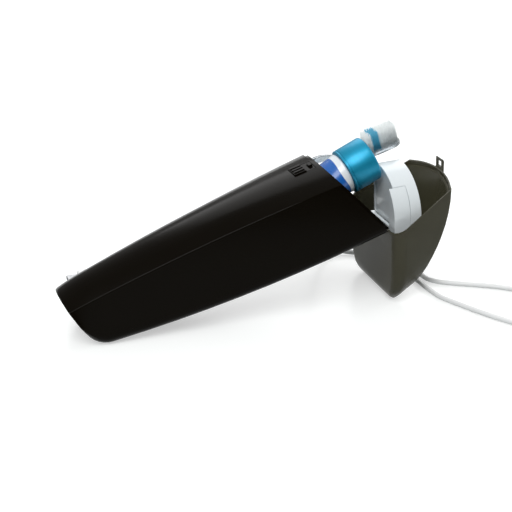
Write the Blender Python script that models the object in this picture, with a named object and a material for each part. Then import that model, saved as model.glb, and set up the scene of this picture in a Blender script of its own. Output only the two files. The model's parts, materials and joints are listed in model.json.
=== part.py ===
"""Travel toothbrush sanitizer: a smoked case standing open on its own hinged lid.

Lengths are in millimetres until a mesh is made and angles are in degrees.
Every piece is drawn in the case frame of the closed case: X runs along the
case towards the mouth, Y to the far side and Z up from the underside, with
the hinge at X = 0. Empties then open the lid and lean the case on it.
"""

import math
from collections import namedtuple

import bmesh
import bpy
from mathutils import Vector

MILLIMETRE = 0.001
PIECE_GAP = 0.3

# Case body: heights are of the crease where the side meets the arched top.
BODY_LENGTH = 182.8
MOUTH_RAKE = 20.0
MOUTH_HEIGHT = 38.2
END_HEIGHT = 26.9
BELLY_BOW = 3.8
CREASE_BOW = 2.3
BASE_HALF_MOUTH = 35.0
BASE_HALF_END = 21.4
CREASE_HALF_MOUTH = 27.0
CREASE_HALF_END = 16.6
ARCH_RISE_MOUTH = 6.2
ARCH_RISE_END = 7.6
CORNER_FILLET = 6.1
CREASE_FILLET = 1.1
HEEL_RADIUS = 13.5
END_LEAN = 15.5
WALL = 2.0
LONG_STATIONS = 10
HEEL_STATIONS = 6
ARCH_STEPS = 5

# Lid and the stepped joint at its rim.
LID_LENGTH = 47.4
NOSE_FILLET = 9.0
NOSE_UPRIGHT = 9.5
BROW_REACH = 36.0
NOSE_ARCH_SHARE = 0.3
NOSE_TURN = -30.0
BROW_END = 0.24
NOSE_PLAN = 20.0
LID_STATIONS = 11
RIM_GAP = 0.4
LIP_WALL = 0.8
LIP_DEPTH = 2.4
TONGUE_INSET = LIP_WALL + PIECE_GAP
TONGUE_REACH = 1.8
LID_OPENING = 104.0

# Hinge.
HINGE_DROP = 2.2
KNUCKLE_RADIUS = 1.9
PIN_RADIUS = 0.9
KNUCKLE_WEB = 6.5
LID_KNUCKLE_HALF = 5.7
BODY_KNUCKLE_LENGTH = 8.0

# Press latch on the crown of the case.
BUTTON_BACK = -37.0
BUTTON_LENGTH = 13.0
BUTTON_HALF = 5.2
BUTTON_TRAVEL = 0.7
BUTTON_PROUD = BUTTON_TRAVEL + 0.6
FLANGE_MARGIN = 1.3
FLANGE_THICKNESS = 0.7
BUTTON_STEP = 7.4
HASP_TIP = -28.6
HASP_HALF = 3.9
HASP_THICKNESS = 1.3
HASP_ROOT = 18.0
NIB_BACK = -26.5
NIB_LENGTH = 2.0
NIB_HEIGHT = 1.2
NIB_HALF = 1.8
HASP_CLEARANCE = 0.8

# White ultraviolet pod in the lid, its vault drawn as two quarter ellipses.
POD_LOW = 5.4
POD_HIGH = 20.0
POD_FLANK_LOW = 3.0
POD_SPLIT_HEIGHT = 13.4
POD_SPLIT_ACROSS = 17.6
POD_RIDGE = 2.5
POD_NEAR_SPAN = 28.1
POD_NEAR_RISE = 26.0
POD_NEAR_FOOT = 5.0
POD_FAR_SPAN = 5.5
POD_FAR_RISE = 8.0
POD_WALL = 1.8
TUB_DEPTH = 22.0
TUB_WALL = 1.8
WINDOW_LENGTH = 14.0
WINDOW_HEIGHT = 8.4
LED_SIZE = 3.2
BOARD_THICKNESS = 1.6

# Paste tube.
CAP_RADIUS = 13.5
CAP_LENGTH = 17.3
CAP_EDGE = 1.6
NECK_RADIUS = 5.0
NECK_LENGTH = 9.0
TUBE_RADIUS = 12.2
TUBE_LENGTH = 66.0
CRIMP_HALF = 18.4
CRIMP_THICKNESS = 1.6
CRIMP_LENGTH = 7.0
TUBE_FRONT = Vector((11.6, 4.0, 31.1))
TUBE_PITCH = 7.6
TUBE_YAW = 0.9

# Brush, measured from the tip of its head.
BRUSH_LENGTH = 155.0
BRUSH_TIP = Vector((37.6, 20.7, 23.4))
BRUSH_SWAY = 0.1
HEAD_HALF = 5.5
HEAD_THICKNESS = 4.2
HEAD_LENGTH = 22.0
NECK_HALF = 1.8
BRUSH_NECK = 38.0
HANDLE_HALF = 3.2
HANDLE_THICKNESS = 4.6
HANDLE_LIFT = 9.8
HANDLE_FALL = 0.07
TUFT_FRONT = 1.6
TUFT_LENGTH = 20.4
TUFT_HALF = 4.6
TUFT_HEIGHT = 10.3
TUFT_BACKING = 0.6
TUFT_COLUMNS = 10
TUFT_ROWS = 30
STRAND_SHARE = 0.62

# Carrier that takes the brush and the tube in and out on two sloping rails.
SLIDE_TRAVEL = 54.0
SLIDE_YAW = 2.45
SLIDE_PITCH = 10.4
CARRIER_LENGTH = 18.0
RAIL_FRONT = -34.0
RAIL_FRONT_TOP = 12.9
RAIL_LENGTH = CARRIER_LENGTH + SLIDE_TRAVEL + 1.0
RAIL_NEAR = -10.0
RAIL_FAR = 15.0
RAIL_THICKNESS = 2.4
STOP_HEIGHT = 2.2
CARRIER_MARGIN = 3.0
CARRIER_FLOOR = 1.6
CARRIER_WALL = 1.6
CLIP_LIP = 1.0

# Power lead: gland, cord, coil and plug.
CORD_RADIUS = 1.5
GLAND_PLACE = Vector((-14.0, 0.0, 7.0))
GLAND_RADIUS = 3.0
GLAND_COLLAR = 4.4
GLAND_COLLAR_LENGTH = 2.0
GLAND_BOOT = 7.0
COIL_CENTRE = Vector((-62.0, 68.0))
COIL_INNER = 14.0
COIL_PITCH = 3.7
COIL_TURNS = 3
COIL_LAYER = 3.7
COIL_POINTS = 24
PLUG_WIDTH = 12.2
PLUG_HEIGHT = 6.4
PLUG_LENGTH = 20.0
SHELL_WIDTH = 8.4
SHELL_HEIGHT = 2.6
SHELL_LENGTH = 6.6

Station = namedtuple("Station", "foot crown foot_inward crown_inward rise")


def lerp(start, stop, share):
    """Blend two values."""
    return start + (stop - start) * share


def clamp(value, low=0.0, high=1.0):
    """Keep a value between two limits."""
    return max(low, min(high, value))


def ease(value):
    """Return a smooth step from 0 to 1."""
    share = clamp(value)
    return share * share * (3 - 2 * share)


def unit_from_angle(angle):
    """Return the unit vector at an angle in radians."""
    return Vector((math.cos(angle), math.sin(angle)))


def rounded_corner(before, corner, after, radius, steps):
    """Return the points of a fillet at a corner of a two-dimensional outline."""
    to_before = before - corner
    to_after = after - corner
    opening = to_before.angle(to_after)
    reach = radius / math.tan(opening / 2)
    reach = min(reach, 0.45 * to_before.length, 0.45 * to_after.length)
    start = corner + to_before.normalized() * reach
    stop = corner + to_after.normalized() * reach
    bisector = (to_before.normalized() + to_after.normalized()).normalized()
    centre = corner + bisector * reach / math.cos(opening / 2)
    fillet = (start - centre).length
    points = []
    for step in range(steps + 1):
        arm = (start - centre).slerp(stop - centre, step / steps)
        points.append(centre + arm.normalized() * fillet)
    return points


def loft(rings):
    """Skin a list of equal rings and close both ends with flat faces."""
    shape = bmesh.new()
    rows = [[shape.verts.new(point) for point in ring] for ring in rings]
    for low, high in zip(rows, rows[1:]):
        for index in range(len(low)):
            following = (index + 1) % len(low)
            shape.faces.new((low[index], low[following], high[following], high[index]))
    shape.faces.new(rows[0][::-1])
    shape.faces.new(rows[-1])
    return shape


def prism(outline, axis, start, stop):
    """Extrude a two-dimensional outline along one axis of the case frame."""
    spots = {
        "X": lambda a, b, along: (along, a, b),
        "Y": lambda a, b, along: (a, along, b),
        "Z": lambda a, b, along: (a, b, along),
    }
    place = spots[axis]
    return loft([[place(a, b, along) for a, b in outline] for along in (start, stop)])


def box(low, high):
    """Make a box between two corners."""
    outline = [(low[0], low[1]), (high[0], low[1]), (high[0], high[1]), (low[0], high[1])]
    return prism(outline, "Z", low[2], high[2])


def circle(radius, sides, centre=(0.0, 0.0)):
    """Return the points of a circle."""
    turn = 2 * math.pi / sides
    return [
        (centre[0] + radius * math.cos(turn * i), centre[1] + radius * math.sin(turn * i))
        for i in range(sides)
    ]


def material(name, colour, roughness, metallic=0.0):
    """Make one plain surface."""
    surface = bpy.data.materials.new(name)
    surface.use_nodes = True
    shader = surface.node_tree.nodes["Principled BSDF"]
    shader.inputs["Base Color"].default_value = (*colour, 1.0)
    shader.inputs["Roughness"].default_value = roughness
    shader.inputs["Metallic"].default_value = metallic
    surface.diffuse_color = (*colour, 1.0)
    return surface


def empty(name, parent=None, location=(0.0, 0.0, 0.0), turn=(0.0, 0.0, 0.0)):
    """Add an empty that carries pieces, with its turn in degrees."""
    holder = bpy.data.objects.new(name, None)
    bpy.context.collection.objects.link(holder)
    holder.parent = parent
    holder.location = Vector(location) * MILLIMETRE
    holder.rotation_euler = [math.radians(angle) for angle in turn]
    return holder


def piece(name, shape, surface, parent, offset=(0.0, 0.0, 0.0)):
    """Turn a shape drawn in millimetres into a named object."""
    bmesh.ops.recalc_face_normals(shape, faces=shape.faces)
    bmesh.ops.scale(shape, vec=(MILLIMETRE,) * 3, verts=shape.verts)
    mesh = bpy.data.meshes.new(name)
    shape.to_mesh(mesh)
    shape.free()
    mesh.materials.append(surface)
    mesh.shade_smooth()
    mesh.set_sharp_from_angle(angle=math.radians(32))
    item = bpy.data.objects.new(name, mesh)
    bpy.context.collection.objects.link(item)
    item.parent = parent
    item.location = Vector(offset) * MILLIMETRE
    return item


def combine(item, name, shape, operation):
    """Join a shape to a piece, or cut it away, with a hidden helper."""
    helper = piece(name, shape, item.data.materials[0], item.parent, item.location / MILLIMETRE)
    helper.hide_render = True
    helper.display_type = "WIRE"
    step = item.modifiers.new(name, "BOOLEAN")
    step.solver = "EXACT"
    step.operation = operation
    step.object = helper


def underside(x):
    """Height of the bowed underside at a place along the case."""
    share = clamp(x / HEEL_START)
    return -4 * BELLY_BOW * share * (1 - share)


def crease_share(x):
    """How far along the crease a place is, from the mouth to the closed end."""
    return clamp((-x - MOUTH_RAKE) / (BODY_LENGTH - MOUTH_RAKE))


def crease_height(x):
    """Height of the crease between side and top."""
    share = crease_share(x)
    return lerp(MOUTH_HEIGHT, END_HEIGHT, share) + 4 * CREASE_BOW * share * (1 - share)


def half_width(x, z):
    """Half width of the leaning side at a place and height."""
    base = lerp(BASE_HALF_MOUTH, BASE_HALF_END, clamp(-x / BODY_LENGTH))
    crease = lerp(CREASE_HALF_MOUTH, CREASE_HALF_END, crease_share(x))
    return lerp(base, crease, clamp(z / crease_height(x)))


def nose_taper(x):
    """How far each side draws in towards the lid's nose, a quarter round in plan."""
    share = clamp((x - LID_LENGTH + NOSE_PLAN) / NOSE_PLAN)
    return NOSE_PLAN * (1 - math.sqrt(1 - share ** 2))


def crown_height(x, across=0.0):
    """Height of the arched top at a place along and across the case."""
    share = crease_share(x)
    rise = lerp(ARCH_RISE_MOUTH * MOUTH_UPRIGHT, ARCH_RISE_END, share)
    half = half_width(x, crease_height(x))
    return crease_height(x) + rise * (1 - (across / half) ** 2)


END_UP = Vector((-math.sin(math.radians(END_LEAN)), math.cos(math.radians(END_LEAN))))
END_INWARD = Vector((END_UP.y, -END_UP.x))
END_TOP = Vector((-BODY_LENGTH, END_HEIGHT))
HEEL_TILT = math.atan(4 * BELLY_BOW / (BODY_LENGTH - 1.5 * HEEL_RADIUS))
HEEL_DROP = (END_HEIGHT + HEEL_RADIUS * (END_INWARD.y - math.cos(HEEL_TILT))) / END_UP.y
HEEL_CENTRE = END_TOP - END_UP * HEEL_DROP + END_INWARD * HEEL_RADIUS
HEEL_START = HEEL_CENTRE.x - HEEL_RADIUS * math.sin(HEEL_TILT)
MOUTH_UPRIGHT = MOUTH_HEIGHT / math.hypot(MOUTH_HEIGHT, MOUTH_RAKE)
TUBE_SLOPE = math.tan(math.radians(TUBE_PITCH))
SLIDE_SLOPE = math.tan(math.radians(SLIDE_PITCH))


def section_ring(foot, crown, half_foot, half_crown, rise):
    """Return one closed cross-section standing on the line from foot to crown."""
    spine = crown - foot
    height = spine.length
    direction = spine.normalized()
    low_centre = Vector((0.0, 0.0))
    low_corner = Vector((half_foot, 0.0))
    crease = Vector((half_crown, height))
    arch_next = Vector((half_crown * 0.8, height + rise * (1 - 0.8 ** 2)))
    half = rounded_corner(low_centre, low_corner, crease, CORNER_FILLET, 4)
    half += rounded_corner(low_corner, crease, arch_next, CREASE_FILLET, 2)
    for step in range(1, ARCH_STEPS):
        share = 0.86 * (1 - step / ARCH_STEPS)
        half.append(Vector((half_crown * share, height + rise * (1 - share ** 2))))
    near = [(-point.x, point.y) for point in half]
    far = [(point.x, point.y) for point in half]
    loop = far + [(0.0, height + rise)] + near[::-1] + [(0.0, 0.0)]
    return [
        (foot.x + direction.x * up, across, foot.y + direction.y * up)
        for across, up in loop
    ]


def ring_at(station, inset):
    """Return a station's ring moved in from the outer surface."""
    foot = station.foot + station.foot_inward * inset
    crown = station.crown + station.crown_inward * inset
    half_foot = half_width(station.foot.x, 0.0) - nose_taper(station.foot.x) - inset
    half_crown = half_width(station.crown.x, crease_height(station.crown.x)) - inset
    half_crown -= nose_taper(station.crown.x)
    return section_ring(foot, crown, half_foot, half_crown, station.rise)


def mouth_ring(shift, inset):
    """Return a ring in the raked mouth plane, moved along the case and inwards."""
    foot = Vector((shift, 0.0))
    crown = Vector((shift - MOUTH_RAKE, MOUTH_HEIGHT))
    along = (crown - foot).normalized()
    return ring_at(Station(foot, crown, along, -along, ARCH_RISE_MOUTH), inset)


def body_stations():
    """Return the stations of the body from the mouth to the closed end."""
    stations = []
    straight_crown_end = lerp(-MOUTH_RAKE, -BODY_LENGTH, 0.86)
    for index in range(LONG_STATIONS):
        share = index / (LONG_STATIONS - 1)
        foot_x = HEEL_START * share
        crown_x = lerp(-MOUTH_RAKE, straight_crown_end, share)
        foot = Vector((foot_x, underside(foot_x)))
        crown = Vector((crown_x, crease_height(crown_x)))
        along = (crown - foot).normalized()
        rise = lerp(ARCH_RISE_MOUTH, ARCH_RISE_END, crease_share(crown_x))
        stations.append(Station(foot, crown, along, -along, rise))
    start_angle = -math.pi / 2 - HEEL_TILT
    stop_angle = -math.pi + math.radians(END_LEAN)
    for index in range(1, HEEL_STATIONS + 1):
        share = index / HEEL_STATIONS
        arm = unit_from_angle(lerp(start_angle, stop_angle, share))
        foot = HEEL_CENTRE + arm * HEEL_RADIUS
        crown_x = lerp(straight_crown_end, -BODY_LENGTH, share * 0.94)
        crown = Vector((crown_x, crease_height(crown_x)))
        inward = Vector((share, -1.0))
        rise = lerp(ARCH_RISE_MOUTH, ARCH_RISE_END, crease_share(crown_x))
        stations.append(Station(foot, crown, -arm, inward, rise * (1 - 0.25 * share ** 3)))
    foot = stations[-1].foot + END_UP * 0.2 * HEEL_DROP
    stations.append(Station(foot, END_TOP, END_INWARD, Vector((1.0, -1.0)), ARCH_RISE_END * 0.6))
    return stations


def nose_curve(share):
    """Return a point of the lid's brow and its inward normal, 0 at the nose."""
    points = (
        Vector((LID_LENGTH, 0.0)),
        Vector((LID_LENGTH, NOSE_UPRIGHT)),
        Vector((BROW_REACH - MOUTH_RAKE, MOUTH_HEIGHT)),
        Vector((RIM_GAP - MOUTH_RAKE, MOUTH_HEIGHT)),
    )
    rest = 1 - share
    weights = (rest ** 3, 3 * rest ** 2 * share, 3 * rest * share ** 2, share ** 3)
    place = sum((point * weight for point, weight in zip(points, weights)), Vector((0.0, 0.0)))
    slopes = (rest ** 2, 2 * rest * share, share ** 2)
    steps = [after - before for before, after in zip(points, points[1:])]
    tangent = sum((step * slope for step, slope in zip(steps, slopes)), Vector((0.0, 0.0)))
    tangent.normalize()
    return place, Vector((-tangent.y, tangent.x))


def lid_stations():
    """Return the stations of the lid from the rim to the nose."""
    stations = []
    straight_share = 0.62
    for index in range(1, LID_STATIONS + 1):
        share = index / LID_STATIONS
        curve_share = lerp(1.0, BROW_END, share)
        crown, crown_inward = nose_curve(curve_share)
        along = share ** 1.25
        if along < straight_share:
            foot = Vector((lerp(RIM_GAP, LID_LENGTH - NOSE_FILLET, along / straight_share), 0.0))
            foot_inward = Vector((0.0, 1.0))
        else:
            turn = (along - straight_share) / (1 - straight_share)
            arm = unit_from_angle(math.radians(lerp(-90, NOSE_TURN, turn)))
            foot = Vector((LID_LENGTH - NOSE_FILLET, NOSE_FILLET)) + arm * NOSE_FILLET
            foot_inward = -arm
        rise = ARCH_RISE_MOUTH * lerp(1.0, NOSE_ARCH_SHARE, share)
        stations.append(Station(foot, crown, foot_inward, crown_inward, rise))
    return stations


def body_shape():
    """Return the hollow case body with its stepped rim."""
    stations = body_stations()
    rings = [ring_at(station, 0.0) for station in reversed(stations[1:])]
    rings.append(mouth_ring(0.0, 0.0))
    rings.append(mouth_ring(0.0, TONGUE_INSET))
    rings.append(mouth_ring(TONGUE_REACH, TONGUE_INSET))
    rings.append(mouth_ring(TONGUE_REACH, WALL))
    rings += [ring_at(station, WALL) for station in stations[1:]]
    return loft(rings)


def lid_shape():
    """Return the hollow lid with the step that covers the body's tongue."""
    stations = lid_stations()
    rings = [ring_at(station, 0.0) for station in reversed(stations)]
    rings.append(mouth_ring(RIM_GAP, 0.0))
    rings.append(mouth_ring(RIM_GAP, LIP_WALL))
    rings.append(mouth_ring(RIM_GAP + LIP_DEPTH, LIP_WALL))
    rings.append(mouth_ring(RIM_GAP + LIP_DEPTH, WALL))
    rings += [ring_at(station, WALL) for station in stations[1:-2]]
    return loft(rings)


def knuckle_outline(side):
    """Return a hinge barrel with its web, side -1 for the body and 1 for the lid."""
    centre = Vector((0.0, -HINGE_DROP))
    outline = [(side * 0.5, LIP_WALL / 2)]
    for step in range(13):
        angle = math.radians(90 - side * -20 * step)
        point = centre + unit_from_angle(angle) * KNUCKLE_RADIUS
        outline.append((point.x, point.y))
    web_foot = underside(-KNUCKLE_WEB) if side < 0 else 0.0
    outline.append((side * KNUCKLE_WEB, web_foot + WALL / 2))
    return outline


def hasp_low():
    """Height of the hasp's underside over the crown."""
    return crown_height(HASP_TIP) + PIECE_GAP


def hasp_outline():
    """Return the side view of the hasp from its tip to its root in the lid's crown."""
    under = hasp_low()
    top = under + HASP_THICKNESS
    rim = RIM_GAP - MOUTH_RAKE - ARCH_RISE_MOUTH / 2
    root = HASP_TIP + HASP_ROOT
    return [
        (HASP_TIP, under), (rim - 0.2, under), (rim + 1.0, under - WALL / 2), (root, under - WALL),
        (root, under - WALL / 2), (root - 2.5, top - 0.3), (HASP_TIP + 1.0, top), (HASP_TIP, top - 0.6),
    ]


def stance():
    """Return the lean in degrees and the place that set the open case on a floor at Z = 0."""
    opening = math.radians(LID_OPENING)
    body_points = [point for station in body_stations() for point in ring_at(station, 0.0)]
    closed_points = [point for station in lid_stations() for point in ring_at(station, 0.0)]
    closed_points += [(x, 0.0, z) for x, z in hasp_outline()]
    lid_points = []
    for x, y, z in closed_points:
        up = z + HINGE_DROP
        swung_x = x * math.cos(opening) + up * math.sin(opening)
        swung_z = up * math.cos(opening) - x * math.sin(opening) - HINGE_DROP
        lid_points.append((swung_x, y, swung_z))

    def lowest(points, lean):
        return min(x * math.sin(lean) + z * math.cos(lean) for x, _, z in points)

    low = 0.0
    high = math.radians(40)
    for _ in range(50):
        lean = (low + high) / 2
        if lowest(lid_points, lean) < lowest(body_points, lean):
            low = lean
        else:
            high = lean
    along = [x * math.cos(lean) - z * math.sin(lean) for x, _, z in body_points + lid_points]
    return math.degrees(lean), -(min(along) + max(along)) / 2, -lowest(body_points, lean)


def pod_outline(inset, tail):
    """Return the pod's vault in plan, running down to a tail place along the case."""
    outline = [(tail, POD_RIDGE + POD_FAR_SPAN - inset)]
    far_centre = -(POD_NEAR_FOOT + POD_NEAR_RISE - POD_FAR_RISE)
    for step in range(7):
        angle = math.radians(15 * step)
        across = POD_RIDGE + (POD_FAR_SPAN - inset) * math.cos(angle)
        outline.append((far_centre - (POD_FAR_RISE - inset) * math.sin(angle), across))
    for step in range(1, 17):
        angle = math.radians(90 + 5.625 * step)
        across = POD_RIDGE + (POD_NEAR_SPAN - inset) * math.cos(angle)
        outline.append((-POD_NEAR_FOOT - (POD_NEAR_RISE - inset) * math.sin(angle), across))
    outline.append((tail, POD_RIDGE - POD_NEAR_SPAN + inset))
    return outline


def tube_section(back):
    """Return the tube's half width and half height at a distance behind its shoulder."""
    share = clamp(back / (TUBE_LENGTH - CRIMP_LENGTH))
    return lerp(TUBE_RADIUS, CRIMP_HALF, share), lerp(TUBE_RADIUS, CRIMP_THICKNESS / 2, share)


def tube_shape():
    """Return the paste tube, drawn along X from the front of its cap."""
    sides = 32
    shoulder = -CAP_LENGTH - PIECE_GAP

    def ring(x, across, up):
        return [(x, a * across, b * up) for a, b in circle(1.0, sides)]

    rings = [
        ring(shoulder + NECK_LENGTH, NECK_RADIUS, NECK_RADIUS),
        ring(shoulder, NECK_RADIUS, NECK_RADIUS),
        ring(shoulder, TUBE_RADIUS - CAP_EDGE / 2, TUBE_RADIUS - CAP_EDGE / 2),
        ring(shoulder - CAP_EDGE / 2, TUBE_RADIUS, TUBE_RADIUS),
    ]
    steps = 12
    for step in range(steps + 1):
        back = lerp(CAP_EDGE, TUBE_LENGTH - CRIMP_LENGTH, step / steps)
        rings.append(ring(shoulder - back, *tube_section(back)))
    rings.append(ring(shoulder - TUBE_LENGTH, CRIMP_HALF, CRIMP_THICKNESS / 2))
    return loft(rings)


def cap_shape():
    """Return the screw cap as a cup with a bore round the tube's neck."""
    sides = 40

    def ring(x, radius):
        return [(x, a, b) for a, b in circle(radius, sides)]

    bore = NECK_RADIUS + PIECE_GAP
    rings = [ring(0.0, CAP_RADIUS - CAP_EDGE)]
    for step in range(1, 4):
        angle = math.radians(30 * step)
        inset = CAP_EDGE * (1 - math.sin(angle))
        rings.append(ring(-CAP_EDGE * (1 - math.cos(angle)), CAP_RADIUS - inset))
    rings += [
        ring(-CAP_LENGTH + 0.4, CAP_RADIUS),
        ring(-CAP_LENGTH, CAP_RADIUS - 0.4),
        ring(-CAP_LENGTH, bore),
        ring(-CAP_LENGTH + NECK_LENGTH + 2 * PIECE_GAP, bore),
    ]
    return loft(rings)


def brush_spine(back):
    """Return the brush's half width, underside height and thickness behind its tip."""
    handle_start = HEAD_LENGTH + BRUSH_NECK
    neck = ease((back - HEAD_LENGTH + 6.0) / 8.0)
    rise = ease((back - HEAD_LENGTH - 4.0) / (BRUSH_NECK - 10.0))
    swell = ease((back - handle_start) / 30.0)
    half = lerp(lerp(HEAD_HALF, NECK_HALF, neck), HANDLE_HALF, swell)
    lift = HANDLE_LIFT * rise - HANDLE_FALL * max(0.0, back - handle_start)
    thickness = lerp(HEAD_THICKNESS, HANDLE_THICKNESS, swell)
    return half, lift, thickness


def brush_sway(back):
    """Return how far the brush bends towards the middle behind its tip."""
    return -BRUSH_SWAY * max(0.0, back - HEAD_LENGTH - BRUSH_NECK / 2)


def brush_shape():
    """Return the brush's head, neck and handle, drawn along X back from its tip."""
    sides = 16
    backs = [0.0, 0.5, 1.5, 3.2, 6.0, 11.0, 16.0, 18.0, 20.0, 22.0, 24.0, 31.0, 38.0]
    backs += [42.0, 46.0, 50.0, 54.0, 60.0, 66.0, 74.0, 82.0, 90.0, 106.0, 122.0, 138.0]
    backs += [BRUSH_LENGTH - 6.0, BRUSH_LENGTH - 2.5, BRUSH_LENGTH - 0.8, BRUSH_LENGTH]
    rings = []
    for back in backs:
        half, lift, thickness = brush_spine(back)
        from_end = min(back, BRUSH_LENGTH - back)
        nose = clamp((from_end + 0.25) / 5.5)
        round_off = math.sqrt(1 - (1 - nose) ** 2)
        half *= round_off
        tall = thickness * lerp(0.4, 1.0, round_off)
        centre = lift + thickness / 2
        ring = []
        for a, b in circle(1.0, sides):
            square_a = math.copysign(abs(a) ** 0.62, a)
            square_b = math.copysign(abs(b) ** 0.62, b)
            across = brush_sway(back) + square_a * half
            ring.append((-back, across, centre + square_b * tall / 2))
        rings.append(ring)
    return loft(rings)


def tuft_shape(first_row, last_row):
    """Return a band of bristle rows standing on its own slice of backing."""
    shape = bmesh.new()
    pitch = TUFT_LENGTH / TUFT_ROWS
    bottom = HEAD_THICKNESS + PIECE_GAP
    root = bottom + TUFT_BACKING

    def lattice_point(row, column, height):
        back = TUFT_FRONT + row * pitch
        end = min(back, HEAD_LENGTH + 1.0 - back)
        half = TUFT_HALF * math.sqrt(1 - (1 - clamp(end / 5.0)) ** 2)
        return Vector((-back, half * (2 * column / TUFT_COLUMNS - 1), height))

    rows = last_row - first_row
    inset = 0.01 if first_row else 0.0
    lattice = {}
    floor = {}
    for row in range(rows + 1):
        for column in range(TUFT_COLUMNS + 1):
            at = first_row + row + (PIECE_GAP / pitch / 2 if row == 0 and first_row else inset)
            lattice[row, column] = shape.verts.new(lattice_point(at, column, root))
            if row in (0, rows) or column in (0, TUFT_COLUMNS):
                floor[row, column] = shape.verts.new(lattice_point(at, column, bottom))
    for row in range(rows):
        for column in range(TUFT_COLUMNS):
            corners = [
                lattice[row, column],
                lattice[row + 1, column],
                lattice[row + 1, column + 1],
                lattice[row, column + 1],
            ]
            middle = sum((corner.co for corner in corners), Vector()) / 4
            phase = 12.9898 * (first_row + row) + 78.233 * column
            wobble = math.sin(phase) * 0.5
            lean = Vector((math.sin(phase * 1.7), math.cos(phase * 2.3), 0.0)) * 0.06
            rise = Vector((0.0, 0.0, TUFT_HEIGHT - TUFT_BACKING + wobble))
            feet = [shape.verts.new(middle + (c.co - middle) * STRAND_SHARE) for c in corners]
            tips = [
                shape.verts.new(middle + (c.co - middle) * STRAND_SHARE * 0.8 + rise + lean)
                for c in corners
            ]
            for index in range(4):
                following = (index + 1) % 4
                shape.faces.new((corners[index], corners[following], feet[following], feet[index]))
                shape.faces.new((feet[index], feet[following], tips[following], tips[index]))
            shape.faces.new(tips)
    edge = [(0, column) for column in range(TUFT_COLUMNS)]
    edge += [(row, TUFT_COLUMNS) for row in range(rows)]
    edge += [(rows, column) for column in range(TUFT_COLUMNS, 0, -1)]
    edge += [(row, 0) for row in range(rows, 0, -1)]
    for index, key in enumerate(edge):
        following = edge[(index + 1) % len(edge)]
        shape.faces.new((lattice[key], lattice[following], floor[following], floor[key]))
    shape.faces.new([floor[key] for key in edge])
    return shape


def rail_top(x):
    """Height of the sloping rails that the carrier slides on."""
    return RAIL_FRONT_TOP + SLIDE_SLOPE * (x - RAIL_FRONT)


def rail_shape(across, stop_height):
    """Return one sloping rail standing on the case floor, with a stop at its front."""
    steps = 8
    outline = [
        (RAIL_FRONT + PIECE_GAP, rail_top(RAIL_FRONT)),
        (RAIL_FRONT + PIECE_GAP, rail_top(RAIL_FRONT) + stop_height),
        (RAIL_FRONT + PIECE_GAP + CARRIER_WALL, rail_top(RAIL_FRONT) + stop_height),
    ]
    front = RAIL_FRONT + PIECE_GAP + CARRIER_WALL
    back = RAIL_FRONT - RAIL_LENGTH
    for step in range(steps + 1):
        x = lerp(front, back, step / steps)
        outline.append((x, underside(x) + WALL + PIECE_GAP))
    outline.append((back, rail_top(back)))
    shape = prism(outline, "Y", across - RAIL_THICKNESS / 2, across + RAIL_THICKNESS / 2)
    for corner in shape.verts:
        corner.co.y += (corner.co.x - RAIL_FRONT) * math.tan(math.radians(SLIDE_YAW))
    return shape


def tube_axis(x):
    """Return the tube axis's place across and up at a place along the case."""
    back = TUBE_FRONT.x - x
    across = TUBE_FRONT.y - back * math.tan(math.radians(TUBE_YAW))
    return across, TUBE_FRONT.z - back * TUBE_SLOPE


def cradle_outline(x, floor):
    """Return the edge of a carrier wall hollowed to the tube's section at a place."""
    across, up = tube_axis(x)
    back = (TUBE_FRONT.x - x) / math.cos(math.radians(TUBE_PITCH)) - CAP_LENGTH - PIECE_GAP
    wide, tall = tube_section(back)
    clearance = 2 * PIECE_GAP
    near = RAIL_NEAR - CARRIER_MARGIN
    far = RAIL_FAR - CARRIER_MARGIN
    outline = [(far, floor), (near, floor)]
    steps = 18
    for step in range(steps + 1):
        spot = lerp(near, far, step / steps)
        bite = math.sqrt(max(0.0, 1 - ((spot - across) / (wide + clearance)) ** 2))
        outline.append((spot, up - (tall + clearance) * bite))
    return outline


def carrier_shape():
    """Return the carrier's floor, parallel to the rails."""
    front = RAIL_FRONT
    back = RAIL_FRONT - CARRIER_LENGTH
    outline = [
        (front, rail_top(front) + PIECE_GAP),
        (front, rail_top(front) + PIECE_GAP + CARRIER_FLOOR),
        (back, rail_top(back) + PIECE_GAP + CARRIER_FLOOR),
        (back, rail_top(back) + PIECE_GAP),
    ]
    return prism(outline, "Y", RAIL_NEAR - CARRIER_MARGIN, RAIL_FAR + CARRIER_MARGIN)


def brush_line(x):
    """Return the brush's middle across, its half width and its underside at a place."""
    back = BRUSH_TIP.x - x
    half, lift, _ = brush_spine(back)
    return BRUSH_TIP.y + brush_sway(back), half, BRUSH_TIP.z + lift


def clip_shape():
    """Return the post and lip of the carrier that hold the brush's handle."""
    x = RAIL_FRONT - CARRIER_WALL / 2
    across, half, low = brush_line(x)
    tube_across, _ = tube_axis(x)
    wide, _ = tube_section(TUBE_FRONT.x - x + CARRIER_WALL - CAP_LENGTH)
    inner = tube_across + wide + 3 * PIECE_GAP
    outer = across + half + 2 * PIECE_GAP
    seat = low - PIECE_GAP
    foot = rail_top(x) + PIECE_GAP
    outline = [
        (RAIL_FAR - CARRIER_MARGIN - CARRIER_WALL, foot + 0.2),
        (RAIL_FAR + CARRIER_MARGIN, foot + 0.2),
        (outer + CLIP_LIP, seat - 3.0),
        (outer + CLIP_LIP, seat + 2.0),
        (outer, seat + 2.0),
        (outer, seat),
        (inner, seat),
        (inner, seat - 8.0),
        (RAIL_FAR - CARRIER_MARGIN - CARRIER_WALL, foot + 3.0),
    ]
    return prism(outline, "X", RAIL_FRONT - CARRIER_WALL, RAIL_FRONT)


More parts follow.
